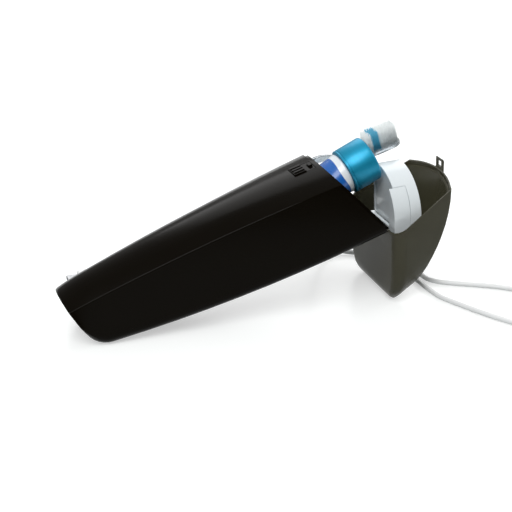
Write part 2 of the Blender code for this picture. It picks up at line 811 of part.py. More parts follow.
def route(points, spacing):
    """Read evenly spaced points from a smooth curve through chosen points."""
    ends = [points[0] * 2 - points[1]] + points + [points[-1] * 2 - points[-2]]
    fine = []
    for a, b, c, d in zip(ends, ends[1:], ends[2:], ends[3:]):
        for step in range(24):
            t = step / 24
            fine.append(
                0.5 * ((2 * b) + (c - a) * t + (2 * a - 5 * b + 4 * c - d) * t ** 2
                       + (3 * b - a - 3 * c + d) * t ** 3)
            )
    fine.append(points[-1])
    lengths = [0.0]
    for before, after in zip(fine, fine[1:]):
        lengths.append(lengths[-1] + (after - before).length)
    count = max(2, round(lengths[-1] / spacing))
    chosen = []
    place = 0
    for index in range(count + 1):
        target = lengths[-1] * index / count
        while place < len(fine) - 2 and lengths[place + 1] < target:
            place += 1
        span = lengths[place + 1] - lengths[place]
        share = clamp((target - lengths[place]) / span) if span else 0.0
        chosen.append(fine[place].lerp(fine[place + 1], share))
    return chosen


def straight_ends(points, spacing, floor):
    """Return a smooth route whose first and last stretch stay straight, above the floor."""
    middle = route(points[1:-1], spacing)
    for point in middle:
        point.z = max(point.z, floor)
    return [points[0]] + middle + [points[-1]]


def tube_along(name, points, surface, resolution):
    """Add a round tube along points given in millimetres."""
    curve = bpy.data.curves.new(name, "CURVE")
    curve.dimensions = "3D"
    curve.bevel_depth = CORD_RADIUS * MILLIMETRE
    curve.bevel_resolution = resolution
    curve.use_fill_caps = True
    spline = curve.splines.new("POLY")
    spline.points.add(len(points) - 1)
    for knot, point in zip(spline.points, points):
        knot.co = (*(Vector(point) * MILLIMETRE), 1.0)
    curve.materials.append(surface)
    item = bpy.data.objects.new(name, curve)
    bpy.context.collection.objects.link(item)
    return item


def coil_points(level):
    """Return the wound lead: in along the lower layer, then out along the upper layer."""
    points = []
    total = 2 * COIL_TURNS * COIL_POINTS
    half = total // 2
    climb = COIL_POINTS // 2
    for index in range(total + 1):
        angle = 2 * math.pi * (index / COIL_POINTS + 0.25)
        radius = COIL_INNER + COIL_PITCH * abs(index - half) / COIL_POINTS
        lift = COIL_LAYER * clamp((index - half + climb / 2) / climb)
        points.append(Vector((
            COIL_CENTRE.x + radius * math.cos(angle),
            COIL_CENTRE.y + radius * math.sin(angle),
            level + lift,
        )))
    return points


def least_gap(points):
    """Return the least space between loops of a wound tube."""
    least = math.inf
    for index, point in enumerate(points):
        for other in points[index + COIL_POINTS // 3:]:
            least = min(least, (point - other).length)
    return least - 2 * CORD_RADIUS


def build():
    """Build every piece of the sanitizer."""
    for old in list(bpy.data.objects):
        bpy.data.objects.remove(old)

    smoke = material("smoked polycarbonate", (0.035, 0.030, 0.028), 0.18)
    smoke_lid = material("light smoked polycarbonate", (0.11, 0.10, 0.085), 0.18)
    white = material("white abs", (0.86, 0.87, 0.87), 0.25)
    steel = material("spring steel", (0.56, 0.56, 0.57), 0.3, 1.0)
    black = material("black nylon", (0.02, 0.02, 0.021), 0.5)
    green = material("circuit board", (0.03, 0.16, 0.08), 0.5)
    quartz = material("quartz window", (0.66, 0.70, 0.82), 0.08)
    emitter = material("emitter ceramic", (0.80, 0.78, 0.58), 0.4)
    blue = material("metallic blue polypropylene", (0.10, 0.20, 0.48), 0.3, 0.4)
    laminate = material("printed tube laminate", (0.83, 0.86, 0.90), 0.35)
    clear = material("clear copolyester", (0.72, 0.74, 0.74), 0.12)
    nylon_white = material("white bristle nylon", (0.85, 0.86, 0.88), 0.45)
    nylon_blue = material("blue bristle nylon", (0.11, 0.26, 0.62), 0.45)
    cord_white = material("white cord sheath", (0.82, 0.82, 0.81), 0.45)

    lean, shift, lift = stance()
    case = empty("case", None, (shift, 0.0, lift), (0.0, -lean, 0.0))
    lid_axis = empty("lid_axis", case, (0.0, 0.0, -HINGE_DROP), (0.0, LID_OPENING, 0.0))
    in_lid = (0.0, 0.0, HINGE_DROP)

    # The case body with its hinge, its latch opening and the way out for the lead.
    body = piece("body_shell", body_shape(), smoke, case)
    knuckle_start = LID_KNUCKLE_HALF + PIECE_GAP
    knuckle_stop = knuckle_start + BODY_KNUCKLE_LENGTH
    for label, side in (("near", -1), ("far", 1)):
        knuckle = prism(knuckle_outline(-1), "Y", side * knuckle_start, side * knuckle_stop)
        combine(body, "body_knuckle_" + label, knuckle, "UNION")
    bore = circle(PIN_RADIUS + PIECE_GAP, 16, (0.0, -HINGE_DROP))
    combine(body, "body_pin_bore", prism(bore, "Y", -knuckle_stop - 1, knuckle_stop + 1), "DIFFERENCE")
    button_front = BUTTON_BACK + BUTTON_LENGTH
    ceiling = crown_height(button_front) - WALL
    opening = box(
        (BUTTON_BACK - PIECE_GAP, -BUTTON_HALF - PIECE_GAP, ceiling - 3.0),
        (button_front + PIECE_GAP, BUTTON_HALF + PIECE_GAP, ceiling + 6.0),
    )
    combine(body, "latch_opening", opening, "DIFFERENCE")
    gland_out = half_width(GLAND_PLACE.x, GLAND_PLACE.z)
    hole = circle(GLAND_RADIUS + PIECE_GAP, 20, (GLAND_PLACE.x, GLAND_PLACE.z))
    combine(body, "gland_hole", prism(hole, "Y", gland_out - 6.0, gland_out + 6.0), "DIFFERENCE")
    pin = circle(PIN_RADIUS, 16, (0.0, -HINGE_DROP))
    piece("hinge_pin", prism(pin, "Y", -knuckle_stop, knuckle_stop), steel, case)

    # The latch button: a ribbed pad above, a flange behind and inside that keeps it in.
    press_axis = empty("press_axis", case, (BUTTON_BACK + BUTTON_LENGTH / 2, 0.0, ceiling))
    off_axis = (-BUTTON_BACK - BUTTON_LENGTH / 2, 0.0, -ceiling)
    rib_top = crown_height(BUTTON_BACK) + BUTTON_PROUD
    pad_top = rib_top - 0.6
    flush = crown_height(button_front) - 0.3
    flange_high = crown_height(BUTTON_BACK, BUTTON_HALF + FLANGE_MARGIN) - WALL - 2 * PIECE_GAP
    flange_low = flange_high - FLANGE_THICKNESS
    step_place = BUTTON_BACK + BUTTON_STEP
    flange_front = step_place + 3.0
    side = [
        (BUTTON_BACK, flange_low + 0.2), (BUTTON_BACK, pad_top), (step_place, pad_top),
        (step_place, flush), (button_front, flush), (button_front, flush - WALL + 0.4),
        (flange_front - 0.6, flush - WALL + 0.4), (flange_front - 0.6, flange_low + 0.2),
    ]
    button = piece(
        "latch_button", prism(side, "Y", -BUTTON_HALF, BUTTON_HALF), smoke, press_axis, off_axis
    )
    flange = box(
        (BUTTON_BACK - FLANGE_MARGIN, -BUTTON_HALF - FLANGE_MARGIN, flange_low),
        (flange_front, BUTTON_HALF + FLANGE_MARGIN, flange_high),
    )
    combine(button, "button_flange", flange, "UNION")
    rib = BUTTON_HALF / 7
    for label, middle in (("near", -4 * rib), ("middle", 0.0), ("far", 4 * rib)):
        ridge = box(
            (BUTTON_BACK + 0.5, middle - rib, pad_top - 0.5), (step_place - 0.5, middle + rib, rib_top)
        )
        combine(button, "button_rib_" + label, ridge, "UNION")
    nib_outline = [
        (NIB_BACK - NIB_HEIGHT * 0.6, flush - 0.2), (NIB_BACK, flush + NIB_HEIGHT),
        (NIB_BACK + NIB_LENGTH, flush + NIB_HEIGHT), (NIB_BACK + NIB_LENGTH, flush - 0.2),
    ]
    combine(button, "button_nib", prism(nib_outline, "Y", -NIB_HALF, NIB_HALF), "UNION")

    # Rails, carrier and the driver board under it.
    piece("rail_near", rail_shape(RAIL_NEAR, STOP_HEIGHT), black, case)
    piece("rail_far", rail_shape(RAIL_FAR, STOP_HEIGHT / 6), black, case)
    slide_axis = empty("slide_axis", case, (RAIL_FRONT, 0.0, rail_top(RAIL_FRONT)))
    on_slide = (-RAIL_FRONT, 0.0, -rail_top(RAIL_FRONT))
    carrier = piece("carrier", carrier_shape(), black, slide_axis, on_slide)
    front_wall = cradle_outline(RAIL_FRONT, rail_top(RAIL_FRONT) + 2 * PIECE_GAP)
    wall = prism(front_wall, "X", RAIL_FRONT - CARRIER_WALL, RAIL_FRONT)
    combine(carrier, "carrier_front", wall, "UNION")
    back_place = RAIL_FRONT - CARRIER_LENGTH
    back_wall = cradle_outline(back_place + CARRIER_WALL, rail_top(back_place) + 2 * PIECE_GAP)
    wall = prism(back_wall, "X", back_place, back_place + CARRIER_WALL)
    combine(carrier, "carrier_back", wall, "UNION")
    combine(carrier, "carrier_clip", clip_shape(), "UNION")
    board_half = -RAIL_NEAR - RAIL_THICKNESS - 0.6
    board_low = underside(-40.0) + WALL + PIECE_GAP
    board_top = board_low + BOARD_THICKNESS
    board_outline = [
        (-60.0, board_low), (-40.0, board_low), (-40.0, board_top), (-43.0, board_top),
        (-43.0, board_top + 2.0), (-49.0, board_top + 2.0), (-49.0, board_top),
        (-53.0, board_top), (-53.0, board_top + 1.2), (-57.0, board_top + 1.2),
        (-57.0, board_top), (-60.0, board_top),
    ]
    piece("driver_board", prism(board_outline, "Y", -board_half, board_half), green, case)

    # Brush and tube ride on the carrier.
    tip = BRUSH_TIP + Vector(on_slide)
    brush_axis = empty("brush_axis", slide_axis, tip)
    piece("brush_handle", brush_shape(), clear, brush_axis)
    piece("bristles_tip", tuft_shape(0, 17), nylon_white, brush_axis)
    piece("bristles_blue", tuft_shape(17, 24), nylon_blue, brush_axis)
    piece("bristles_heel", tuft_shape(24, TUFT_ROWS), nylon_white, brush_axis)
    cap_place = TUBE_FRONT + Vector(on_slide)
    cap_axis = empty("cap_axis", slide_axis, cap_place, (0.0, -TUBE_PITCH, TUBE_YAW))
    piece("tube_body", tube_shape(), laminate, cap_axis)
    piece("tube_cap", cap_shape(), blue, cap_axis)

    # The lid with its knuckle and the latch tab.
    lid = piece("lid_shell", lid_shape(), smoke_lid, lid_axis, in_lid)
    knuckle = prism(knuckle_outline(1), "Y", -LID_KNUCKLE_HALF, LID_KNUCKLE_HALF)
    combine(lid, "lid_knuckle", knuckle, "UNION")
    short_bore = prism(bore, "Y", -LID_KNUCKLE_HALF - 1, LID_KNUCKLE_HALF + 1)
    combine(lid, "lid_pin_bore", short_bore, "DIFFERENCE")
    combine(lid, "lid_hasp", prism(hasp_outline(), "Y", -HASP_HALF, HASP_HALF), "UNION")
    hasp_window = box(
        (NIB_BACK - HASP_CLEARANCE, -NIB_HALF - HASP_CLEARANCE, hasp_low() - 2.0),
        (NIB_BACK + NIB_LENGTH + HASP_CLEARANCE, NIB_HALF + HASP_CLEARANCE, hasp_low() + 4.0),
    )
    combine(lid, "hasp_window", hasp_window, "DIFFERENCE")

    # The ultraviolet pod: cover, base, window, boards and emitters.
    far_face = POD_RIDGE + POD_FAR_SPAN
    near_face = POD_RIDGE - POD_NEAR_SPAN
    split = -POD_SPLIT_ACROSS
    vault = prism(pod_outline(0.0, -0.2), "Z", POD_LOW, POD_HIGH)
    cover = piece("pod_cover", vault, white, lid_axis, in_lid)
    hollow = prism(pod_outline(POD_WALL, 1.0), "Z", POD_LOW - 1.0, POD_HIGH - POD_WALL)
    combine(cover, "cover_hollow", hollow, "DIFFERENCE")
    corner = box((-60.0, near_face - 5.0, POD_LOW - 1.0), (1.0, split, POD_SPLIT_HEIGHT))
    combine(cover, "cover_split", corner, "DIFFERENCE")
    window_middle = -POD_NEAR_FOOT - 6.5
    window_height = (POD_LOW + POD_HIGH) / 2 + 0.6
    hole_length = WINDOW_LENGTH / 2 + PIECE_GAP
    hole_height = WINDOW_HEIGHT / 2 + PIECE_GAP
    frame = box(
        (window_middle - hole_length, far_face - 4.0, window_height - hole_height),
        (window_middle + hole_length, far_face + 4.0, window_height + hole_height),
    )
    combine(cover, "window_opening", frame, "DIFFERENCE")
    pane = box(
        (window_middle - WINDOW_LENGTH / 2, far_face - POD_WALL, window_height - WINDOW_HEIGHT / 2),
        (window_middle + WINDOW_LENGTH / 2, far_face - PIECE_GAP, window_height + WINDOW_HEIGHT / 2),
    )
    piece("uv_window", pane, quartz, lid_axis, in_lid)
    board_far = far_face - POD_WALL - 1.6
    uv_board = box(
        (window_middle - WINDOW_LENGTH / 2 - 1.0, board_far - BOARD_THICKNESS, POD_LOW + 3.0),
        (window_middle + WINDOW_LENGTH / 2 + 1.0, board_far, POD_HIGH - POD_WALL - PIECE_GAP),
    )
    piece("uv_board", uv_board, green, lid_axis, in_lid)
    for number, step in enumerate((-1, 0, 1), start=1):
        middle = window_middle + step * WINDOW_LENGTH * 0.32
        led = box(
            (middle - LED_SIZE / 2, board_far + PIECE_GAP, window_height - LED_SIZE / 2),
            (middle + LED_SIZE / 2, board_far + 1.3, window_height + LED_SIZE / 2),
        )
        piece("uv_led_%d" % number, led, emitter, lid_axis, in_lid)

    tub_low = 0.2
    base = piece(
        "pod_base",
        box((tub_low, near_face + 1.2, POD_FLANK_LOW), (TUB_DEPTH, far_face - 0.6, POD_HIGH - 1.0)),
        white, lid_axis, in_lid,
    )
    tub_hollow = box(
        (tub_low - 1.0, near_face + 1.2 + TUB_WALL, POD_FLANK_LOW + TUB_WALL),
        (TUB_DEPTH - TUB_WALL, far_face - 0.6 - TUB_WALL, POD_HIGH - 1.0 - TUB_WALL),
    )
    combine(base, "tub_hollow", tub_hollow, "DIFFERENCE")
    plate = prism(pod_outline(POD_WALL + PIECE_GAP, tub_low + 0.8), "Z", POD_LOW + 0.4, POD_LOW + 2.0)
    combine(base, "base_plate", plate, "UNION")
    flank = prism(pod_outline(0.0, tub_low + 2.0), "Z", POD_FLANK_LOW, POD_SPLIT_HEIGHT - PIECE_GAP)
    piece_flank = box((-60.0, near_face - 5.0, -5.0), (40.0, split - PIECE_GAP, 40.0))
    flank_item = piece("flank_block", flank, white, lid_axis, in_lid)
    combine(flank_item, "flank_keep", piece_flank, "INTERSECT")
    flank_hollow = prism(pod_outline(POD_WALL, tub_low + 6.0), "Z", POD_LOW + 1.8, POD_SPLIT_HEIGHT + 2.0)
    combine(flank_item, "flank_hollow", flank_hollow, "DIFFERENCE")
    flank_item.hide_render = True
    flank_item.display_type = "WIRE"
    step = base.modifiers.new("flank", "BOOLEAN")
    step.solver = "EXACT"
    step.operation = "UNION"
    step.object = flank_item
    control_low = POD_FLANK_LOW + TUB_WALL + PIECE_GAP
    control_high = POD_HIGH - 1.0 - TUB_WALL - PIECE_GAP
    control = box(
        (6.0, near_face + 5.0, control_low), (6.0 + BOARD_THICKNESS, far_face - 4.0, control_high)
    )
    piece("control_board", control, green, lid_axis, in_lid)
    switch = box((7.9, 0.0, POD_FLANK_LOW + 5.0), (12.4, 4.0, POD_FLANK_LOW + 11.0))
    piece("interlock_switch", switch, black, lid_axis, in_lid)
    for number, across in enumerate((near_face + 7.0, far_face - 6.0), start=1):
        head = circle(1.7, 16, (across, POD_FLANK_LOW + 8.0))
        screw = prism(head, "X", TUB_DEPTH + PIECE_GAP, TUB_DEPTH + 1.5)
        piece("pod_screw_%d" % number, screw, steel, lid_axis, in_lid)

    # The lead: gland in the far wall, cord on the floor, wound coil and plug.
    collar = gland_out + 0.9
    boot_end = collar + GLAND_COLLAR_LENGTH + GLAND_BOOT
    gland_sides = 20

    def gland_ring(y, radius):
        return [(a, y, b) for a, b in circle(radius, gland_sides, (GLAND_PLACE.x, GLAND_PLACE.z))]

    gland = loft([
        gland_ring(gland_out - 3.4, GLAND_RADIUS),
        gland_ring(collar, GLAND_RADIUS),
        gland_ring(collar, GLAND_COLLAR),
        gland_ring(collar + GLAND_COLLAR_LENGTH, GLAND_COLLAR),
        gland_ring(collar + GLAND_COLLAR_LENGTH, GLAND_RADIUS),
        gland_ring(boot_end, CORD_RADIUS + 0.8),
    ])
    piece("cord_gland", gland, cord_white, case)

    level = CORD_RADIUS + 0.25
    lean_rad = math.radians(lean)

    def on_floor(x, y, height=level):
        return Vector((x + shift, y, height))

    gland_x = GLAND_PLACE.x * math.cos(lean_rad) - GLAND_PLACE.z * math.sin(lean_rad)
    gland_z = GLAND_PLACE.x * math.sin(lean_rad) + GLAND_PLACE.z * math.cos(lean_rad) + lift
    start = boot_end + PIECE_GAP
    coil = coil_points(level)
    coil = [Vector((point.x + shift, point.y, point.z)) for point in coil]
    print("least gap in the coil, mm:", round(least_gap(coil), 3))
    lead_in = (coil[0] - coil[1]).normalized()
    lead_out = (coil[-1] - coil[-2]).normalized()
    first = [
        on_floor(gland_x, start, gland_z),
        on_floor(gland_x, start + 3.2, gland_z),
        on_floor(gland_x + 1.0, start + 8.0, gland_z - 3.0),
        on_floor(gland_x + 4.0, start + 10.5, gland_z * 0.5),
        on_floor(gland_x + 12.0, start + 9.0, level + 4.0),
        on_floor(gland_x + 26.0, start + 4.0),
        on_floor(28.0, 32.0),
        on_floor(33.0, 10.0),
        on_floor(32.5, -6.5),
        on_floor(34.1, -25.9),
        on_floor(38.0, -38.2),
        on_floor(55.5, -70.9),
        on_floor(78.0, -96.0),
        on_floor(104.0, -90.0),
        on_floor(104.0, -62.0),
        on_floor(77.5, -33.8),
        on_floor(49.7, -16.4),
        on_floor(42.1, -10.6),
        on_floor(38.5, -3.0),
        on_floor(39.0, 14.0),
        on_floor(36.0, 38.0),
        on_floor(20.0, 66.0),
        on_floor(-8.0, 86.0),
        coil[0] + lead_in * 24.0 + Vector((0.0, 0.4, 0.0)),
        coil[0] + lead_in * (2 * CORD_RADIUS + PIECE_GAP),
        coil[0] + lead_in * PIECE_GAP,
    ]
    tube_along("cord_run", straight_ends(first, 9.5, level), cord_white, 2)
    tube_along("cord_coil", coil, cord_white, 1)
    plug_x = COIL_CENTRE.x - 78.0
    plug_y = COIL_CENTRE.y - 4.0
    plug_level = PLUG_HEIGHT / 2 + 0.1
    tail = [
        coil[-1] + lead_out * PIECE_GAP,
        coil[-1] + lead_out * (2 * CORD_RADIUS + PIECE_GAP),
        on_floor(COIL_CENTRE.x - 24.0, COIL_CENTRE.y + 26.0, level + 1.2),
        on_floor(COIL_CENTRE.x - 46.0, COIL_CENTRE.y + 14.0),
        on_floor(plug_x + 14.0, plug_y + 1.0, plug_level - 0.8),
        on_floor(plug_x + 2 * CORD_RADIUS + PIECE_GAP, plug_y, plug_level),
        on_floor(plug_x + PIECE_GAP, plug_y, plug_level),
    ]
    tube_along("cord_tail", straight_ends(tail, 9.0, level), cord_white, 2)

    def slab_ring(x, wide, tall, radius):
        signs = ((-1, -1), (1, -1), (1, 1), (-1, 1))
        corners = [Vector((wide * across, tall * up)) for across, up in signs]
        points = []
        for index, corner in enumerate(corners):
            after = corners[(index + 1) % 4]
            points += rounded_corner(corners[index - 1], corner, after, radius, 3)
        return [(plug_x + shift + x, plug_y + point.x, plug_level + point.y) for point in points]

    plug = loft([
        slab_ring(0.0, CORD_RADIUS + 0.9, CORD_RADIUS + 0.6, 1.2),
        slab_ring(-7.0, CORD_RADIUS + 1.4, CORD_RADIUS + 0.9, 1.4),
        slab_ring(-8.6, PLUG_WIDTH / 2, PLUG_HEIGHT / 2, 2.0),
        slab_ring(-PLUG_LENGTH + 0.6, PLUG_WIDTH / 2, PLUG_HEIGHT / 2, 2.0),
        slab_ring(-PLUG_LENGTH, PLUG_WIDTH / 2 - 0.6, PLUG_HEIGHT / 2 - 0.6, 1.6),
    ])
    piece("plug_body", plug, cord_white, None)
    shell_start = -PLUG_LENGTH - PIECE_GAP
    shell = loft([
        slab_ring(shell_start, SHELL_WIDTH / 2, SHELL_HEIGHT / 2, 1.1),
        slab_ring(shell_start - SHELL_LENGTH, SHELL_WIDTH / 2, SHELL_HEIGHT / 2, 1.1),
        slab_ring(shell_start - SHELL_LENGTH, SHELL_WIDTH / 2 - 0.4, SHELL_HEIGHT / 2 - 0.4, 0.8),
        slab_ring(shell_start - 0.6, SHELL_WIDTH / 2 - 0.4, SHELL_HEIGHT / 2 - 0.4, 0.8),
    ])
    piece("plug_shell", shell, steel, None)


build()
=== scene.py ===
"""Looks of a pocket toothbrush sanitizer: a smoked case standing open on its hinged lid.

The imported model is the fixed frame. Every visible piece here stands for one of its nodes, rides on
the same body and keeps the node's size; this file adds the finishes, the bristles, the cap's turned
form, the lead and the studio.
"""

import json
import logging
import math
from dataclasses import dataclass, field
from enum import Enum

import bmesh
import bpy
from mathutils import Matrix, Vector

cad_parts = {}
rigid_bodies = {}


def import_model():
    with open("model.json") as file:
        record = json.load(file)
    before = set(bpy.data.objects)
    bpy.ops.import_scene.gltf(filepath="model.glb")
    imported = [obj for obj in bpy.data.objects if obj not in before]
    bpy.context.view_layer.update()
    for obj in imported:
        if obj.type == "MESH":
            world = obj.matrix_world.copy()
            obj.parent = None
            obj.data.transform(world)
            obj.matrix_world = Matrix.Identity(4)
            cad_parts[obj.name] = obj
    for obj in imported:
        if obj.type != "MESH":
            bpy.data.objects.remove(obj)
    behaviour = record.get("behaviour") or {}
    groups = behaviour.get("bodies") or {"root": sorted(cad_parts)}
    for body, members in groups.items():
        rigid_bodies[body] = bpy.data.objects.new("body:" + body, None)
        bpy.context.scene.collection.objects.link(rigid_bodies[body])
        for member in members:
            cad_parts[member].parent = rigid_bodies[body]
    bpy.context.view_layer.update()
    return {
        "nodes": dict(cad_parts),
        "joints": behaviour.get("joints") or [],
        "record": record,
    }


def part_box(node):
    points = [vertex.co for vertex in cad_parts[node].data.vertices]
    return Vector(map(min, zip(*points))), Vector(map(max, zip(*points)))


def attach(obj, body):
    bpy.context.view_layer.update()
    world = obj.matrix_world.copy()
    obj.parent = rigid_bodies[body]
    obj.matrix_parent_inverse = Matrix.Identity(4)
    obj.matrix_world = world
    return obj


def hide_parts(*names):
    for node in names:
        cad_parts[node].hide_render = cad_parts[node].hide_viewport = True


LOG = logging.getLogger("sanitizer")
MILLIMETRE = 0.001
MERGE_DISTANCE = 0.000002
Socket = bpy.types.NodeSocket
Tree = bpy.types.NodeTree
Piece = bpy.types.Object
Material = bpy.types.Material


class Body(str, Enum):
    """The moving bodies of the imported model."""

    CASE = "case"
    LID = "lid"
    CARRIER = "carrier"
    CAP = "cap"
    BUTTON = "button"


class Edge(float, Enum):
    """How softly a moulded edge is rounded, in millimetres."""

    LOFTED = 0.0
    CRISP = 0.12
    MOULDED = 0.3
    ROUND = 0.7


def linear(colour: str) -> tuple[float, float, float, float]:
    """Turn an sRGB hex colour into linear values.

    Args:
        colour: Six hex digits after a hash sign.

    Returns:
        Red, green, blue and an alpha of 1.
    """
    values = [int(colour[index:index + 2], 16) / 255 for index in (1, 3, 5)]
    bent = [v / 12.92 if v <= 0.04045 else ((v + 0.055) / 1.055) ** 2.4 for v in values]
    return (bent[0], bent[1], bent[2], 1.0)


def per_metre(size_mm: float) -> float:
    """Return the texture scale whose features are that many millimetres apart."""
    return 1 / (size_mm * MILLIMETRE)


def clamp(value: float, low: float = 0.0, high: float = 1.0) -> float:
    """Keep a value between two limits."""
    return max(low, min(high, value))


def add_node(tree: Tree, kind: str, inputs: dict | None = None, **settings: object) -> bpy.types.Node:
    """Add a node, set it up and link it.

    Args:
        tree: Node tree of a material, a world or a geometry group.
        kind: Blender's identifier of the node.
        inputs: Values or output sockets by the name or number of the input.
        settings: Attributes of the node.

    Returns:
        The new node.
    """
    node = tree.nodes.new(kind)
    for name, value in settings.items():
        setattr(node, name, value)
    for key, value in (inputs or {}).items():
        if isinstance(value, Socket):
            tree.links.new(value, node.inputs[key])
        else:
            node.inputs[key].default_value = value
    return node


def start_material(name: str) -> tuple[Material, Tree, bpy.types.Node]:
    """Return a new material, its tree and its Principled node."""
    material = bpy.data.materials.new(name)
    material.use_nodes = True
    tree = material.node_tree
    return material, tree, tree.nodes["Principled BSDF"]


def set_surface(tree: Tree, surface: bpy.types.Node, inputs: dict) -> None:
    """Set or link inputs of a material's Principled node.

    Args:
        tree: The material's tree.
        surface: Its Principled node.
        inputs: Values or output sockets by the name of the input.
    """
    for name, value in inputs.items():
        if isinstance(value, Socket):
            tree.links.new(value, surface.inputs[name])
        else:
            surface.inputs[name].default_value = value


def spread(tree: Tree, value: Socket, low: float, high: float) -> Socket:
    """Map a texture's middle range to two limits and return the result."""
    inputs = {"Value": value, "From Min": 0.3, "From Max": 0.7, "To Min": low, "To Max": high}
    return add_node(tree, "ShaderNodeMapRange", inputs).outputs[0]


def blend(tree: Tree, share: Socket, first: object, second: object) -> Socket:
    """Mix two colours by a share and return the result."""
    mix = add_node(tree, "ShaderNodeMix", {0: share, 6: first, 7: second}, data_type="RGBA")
    return mix.outputs[2]


@dataclass(frozen=True)
class MouldedPlastic:
    """An injection-moulded plastic: even colour with slight flow marks and a faint ripple.

    The eye sees a clean gloss that breaks up a little where the mould's polish shows.
    """

    name: str
    colour: str
    shade: str
    roughness: float
    ripple_mm: float = 3.0
    ripple_depth_mm: float = 0.012
    flow_mm: float = 22.0
    specular: float = 0.5
    transmission: float = 0.0
    coat: float = 0.0
    ior: float = 1.5

    def make(self) -> Material:
        """Build the material.

        Returns:
            The finished material.
        """
        material, tree, surface = start_material(self.name)
        place = add_node(tree, "ShaderNodeTexCoord").outputs["Object"]
        stretch = add_node(tree, "ShaderNodeMapping", {"Vector": place, "Scale": (0.4, 1.0, 1.0)})
        flow = add_node(tree, "ShaderNodeTexNoise", {
            "Vector": stretch.outputs[0], "Scale": per_metre(self.flow_mm), "Detail": 3.0,
        })
        ripple = add_node(tree, "ShaderNodeTexNoise", {
            "Vector": place, "Scale": per_metre(self.ripple_mm), "Detail": 2.0,
        })
        bump = add_node(tree, "ShaderNodeBump", {
            "Height": ripple.outputs[0], "Strength": 0.35, "Distance": self.ripple_depth_mm * MILLIMETRE,
        })
        set_surface(tree, surface, {
            "Base Color": blend(tree, flow.outputs[0], linear(self.colour), linear(self.shade)),
            "Roughness": spread(tree, flow.outputs[0], self.roughness * 0.85, self.roughness * 1.2),
            "Normal": bump.outputs[0],
            "IOR": self.ior,
            "Specular IOR Level": self.specular,
            "Transmission Weight": self.transmission,
            "Coat Weight": self.coat,
            "Coat Roughness": 0.06,
        })
        return material


@dataclass(frozen=True)
class MetallisedPlastic:
    """Vacuum-metallised polypropylene under tinted lacquer, with the lathe lines of its mould."""

    name: str
    colour: str
    shade: str
    roughness: float
    line_mm: float = 0.35
    stretch: float = 0.02

    def make(self) -> Material:
        """Build the material on the cap's own map, whose second value is millimetres along it.

        Returns:
            The finished material.
        """
        material, tree, surface = start_material(self.name)
        place = add_node(tree, "ShaderNodeTexCoord").outputs["UV"]
        across = 1 / self.line_mm
        lines = add_node(tree, "ShaderNodeMapping", {
            "Vector": place, "Scale": (self.stretch, across, 1.0),
        })
        turned = add_node(tree, "ShaderNodeTexNoise", {
            "Vector": lines.outputs[0], "Scale": 1.0, "Detail": 2.0,
        })
        bump = add_node(tree, "ShaderNodeBump", {
            "Height": turned.outputs[0], "Strength": 0.3, "Distance": 0.01 * MILLIMETRE,
        })
        set_surface(tree, surface, {
            "Base Color": blend(tree, turned.outputs[0], linear(self.colour), linear(self.shade)),
            "Roughness": spread(tree, turned.outputs[0], self.roughness * 0.9, self.roughness * 1.15),
            "Normal": bump.outputs[0],
            "Metallic": 0.6,
            "Coat Weight": 0.18,
            "Coat Roughness": 0.16,
        })
        return material


@dataclass(frozen=True)
class PrintedLaminate:
    """White tube laminate with plain blue bands whose edges wave round the tube."""

    name: str
    white: str
    deep: str
    bright: str
    axis: Matrix
    band_mm: float = 3.6
    wave_mm: float = 0.9
    wave_turn: float = 0.24
    start_mm: float = 17.6
    field_mm: float = 40.0
    fade: float = 0.006
    crease_mm: float = 7.0

    def make(self) -> Material:
        """Build the material in the tube's own millimetres, X forward from the cap's front.

        Returns:
            The finished material.
        """
        material, tree, surface = start_material(self.name)
        place = add_node(tree, "ShaderNodeTexCoord").outputs["Object"]
        local = add_node(tree, "ShaderNodeMapping", {
            "Vector": place,
            "Location": self.axis.to_translation(),
            "Rotation": self.axis.to_euler(),
            "Scale": (MILLIMETRE, MILLIMETRE, MILLIMETRE),
        }, vector_type="TEXTURE")
        parts = add_node(tree, "ShaderNodeSeparateXYZ", {"Vector": local.outputs[0]})
        swing = add_node(tree, "ShaderNodeMath", {
            0: parts.outputs["Z"], 1: self.wave_turn,
        }, operation="MULTIPLY")
        wave = add_node(tree, "ShaderNodeMath", {0: swing.outputs[0]}, operation="SINE")
        depth = add_node(tree, "ShaderNodeMath", {
            0: wave.outputs[0], 1: self.wave_mm, 2: parts.outputs["X"],
        }, operation="MULTIPLY_ADD")
        back = add_node(tree, "ShaderNodeMapRange", {
            "Value": depth.outputs[0], "From Min": -self.start_mm,
            "From Max": -self.start_mm - self.field_mm, "To Min": 0.0, "To Max": 1.0,
        })
        ramp = add_node(tree, "ShaderNodeValToRGB", {"Fac": back.outputs[0]})
        edge = self.band_mm / self.field_mm
        stops = (
            (0.0, self.white), (edge, self.white), (edge + self.fade, self.deep),
            (0.36, self.deep), (0.40, self.bright), (0.52, self.bright), (0.52 + self.fade, self.white),
        )
        for stop in stops[2:]:
            ramp.color_ramp.elements.new(stop[0])
        for element, (place_along, colour) in zip(ramp.color_ramp.elements, stops):
            element.position = place_along
            element.color = linear(colour)
        crease = add_node(tree, "ShaderNodeTexNoise", {
            "Vector": place, "Scale": per_metre(self.crease_mm), "Detail": 1.0,
        })
        bump = add_node(tree, "ShaderNodeBump", {
            "Height": crease.outputs[0], "Strength": 0.4, "Distance": 0.12 * MILLIMETRE,
        })
        set_surface(tree, surface, {
            "Base Color": ramp.outputs[0],
            "Roughness": spread(tree, crease.outputs[0], 0.22, 0.32),
            "Normal": bump.outputs[0],
            "Coat Weight": 0.3,
        })
        return material


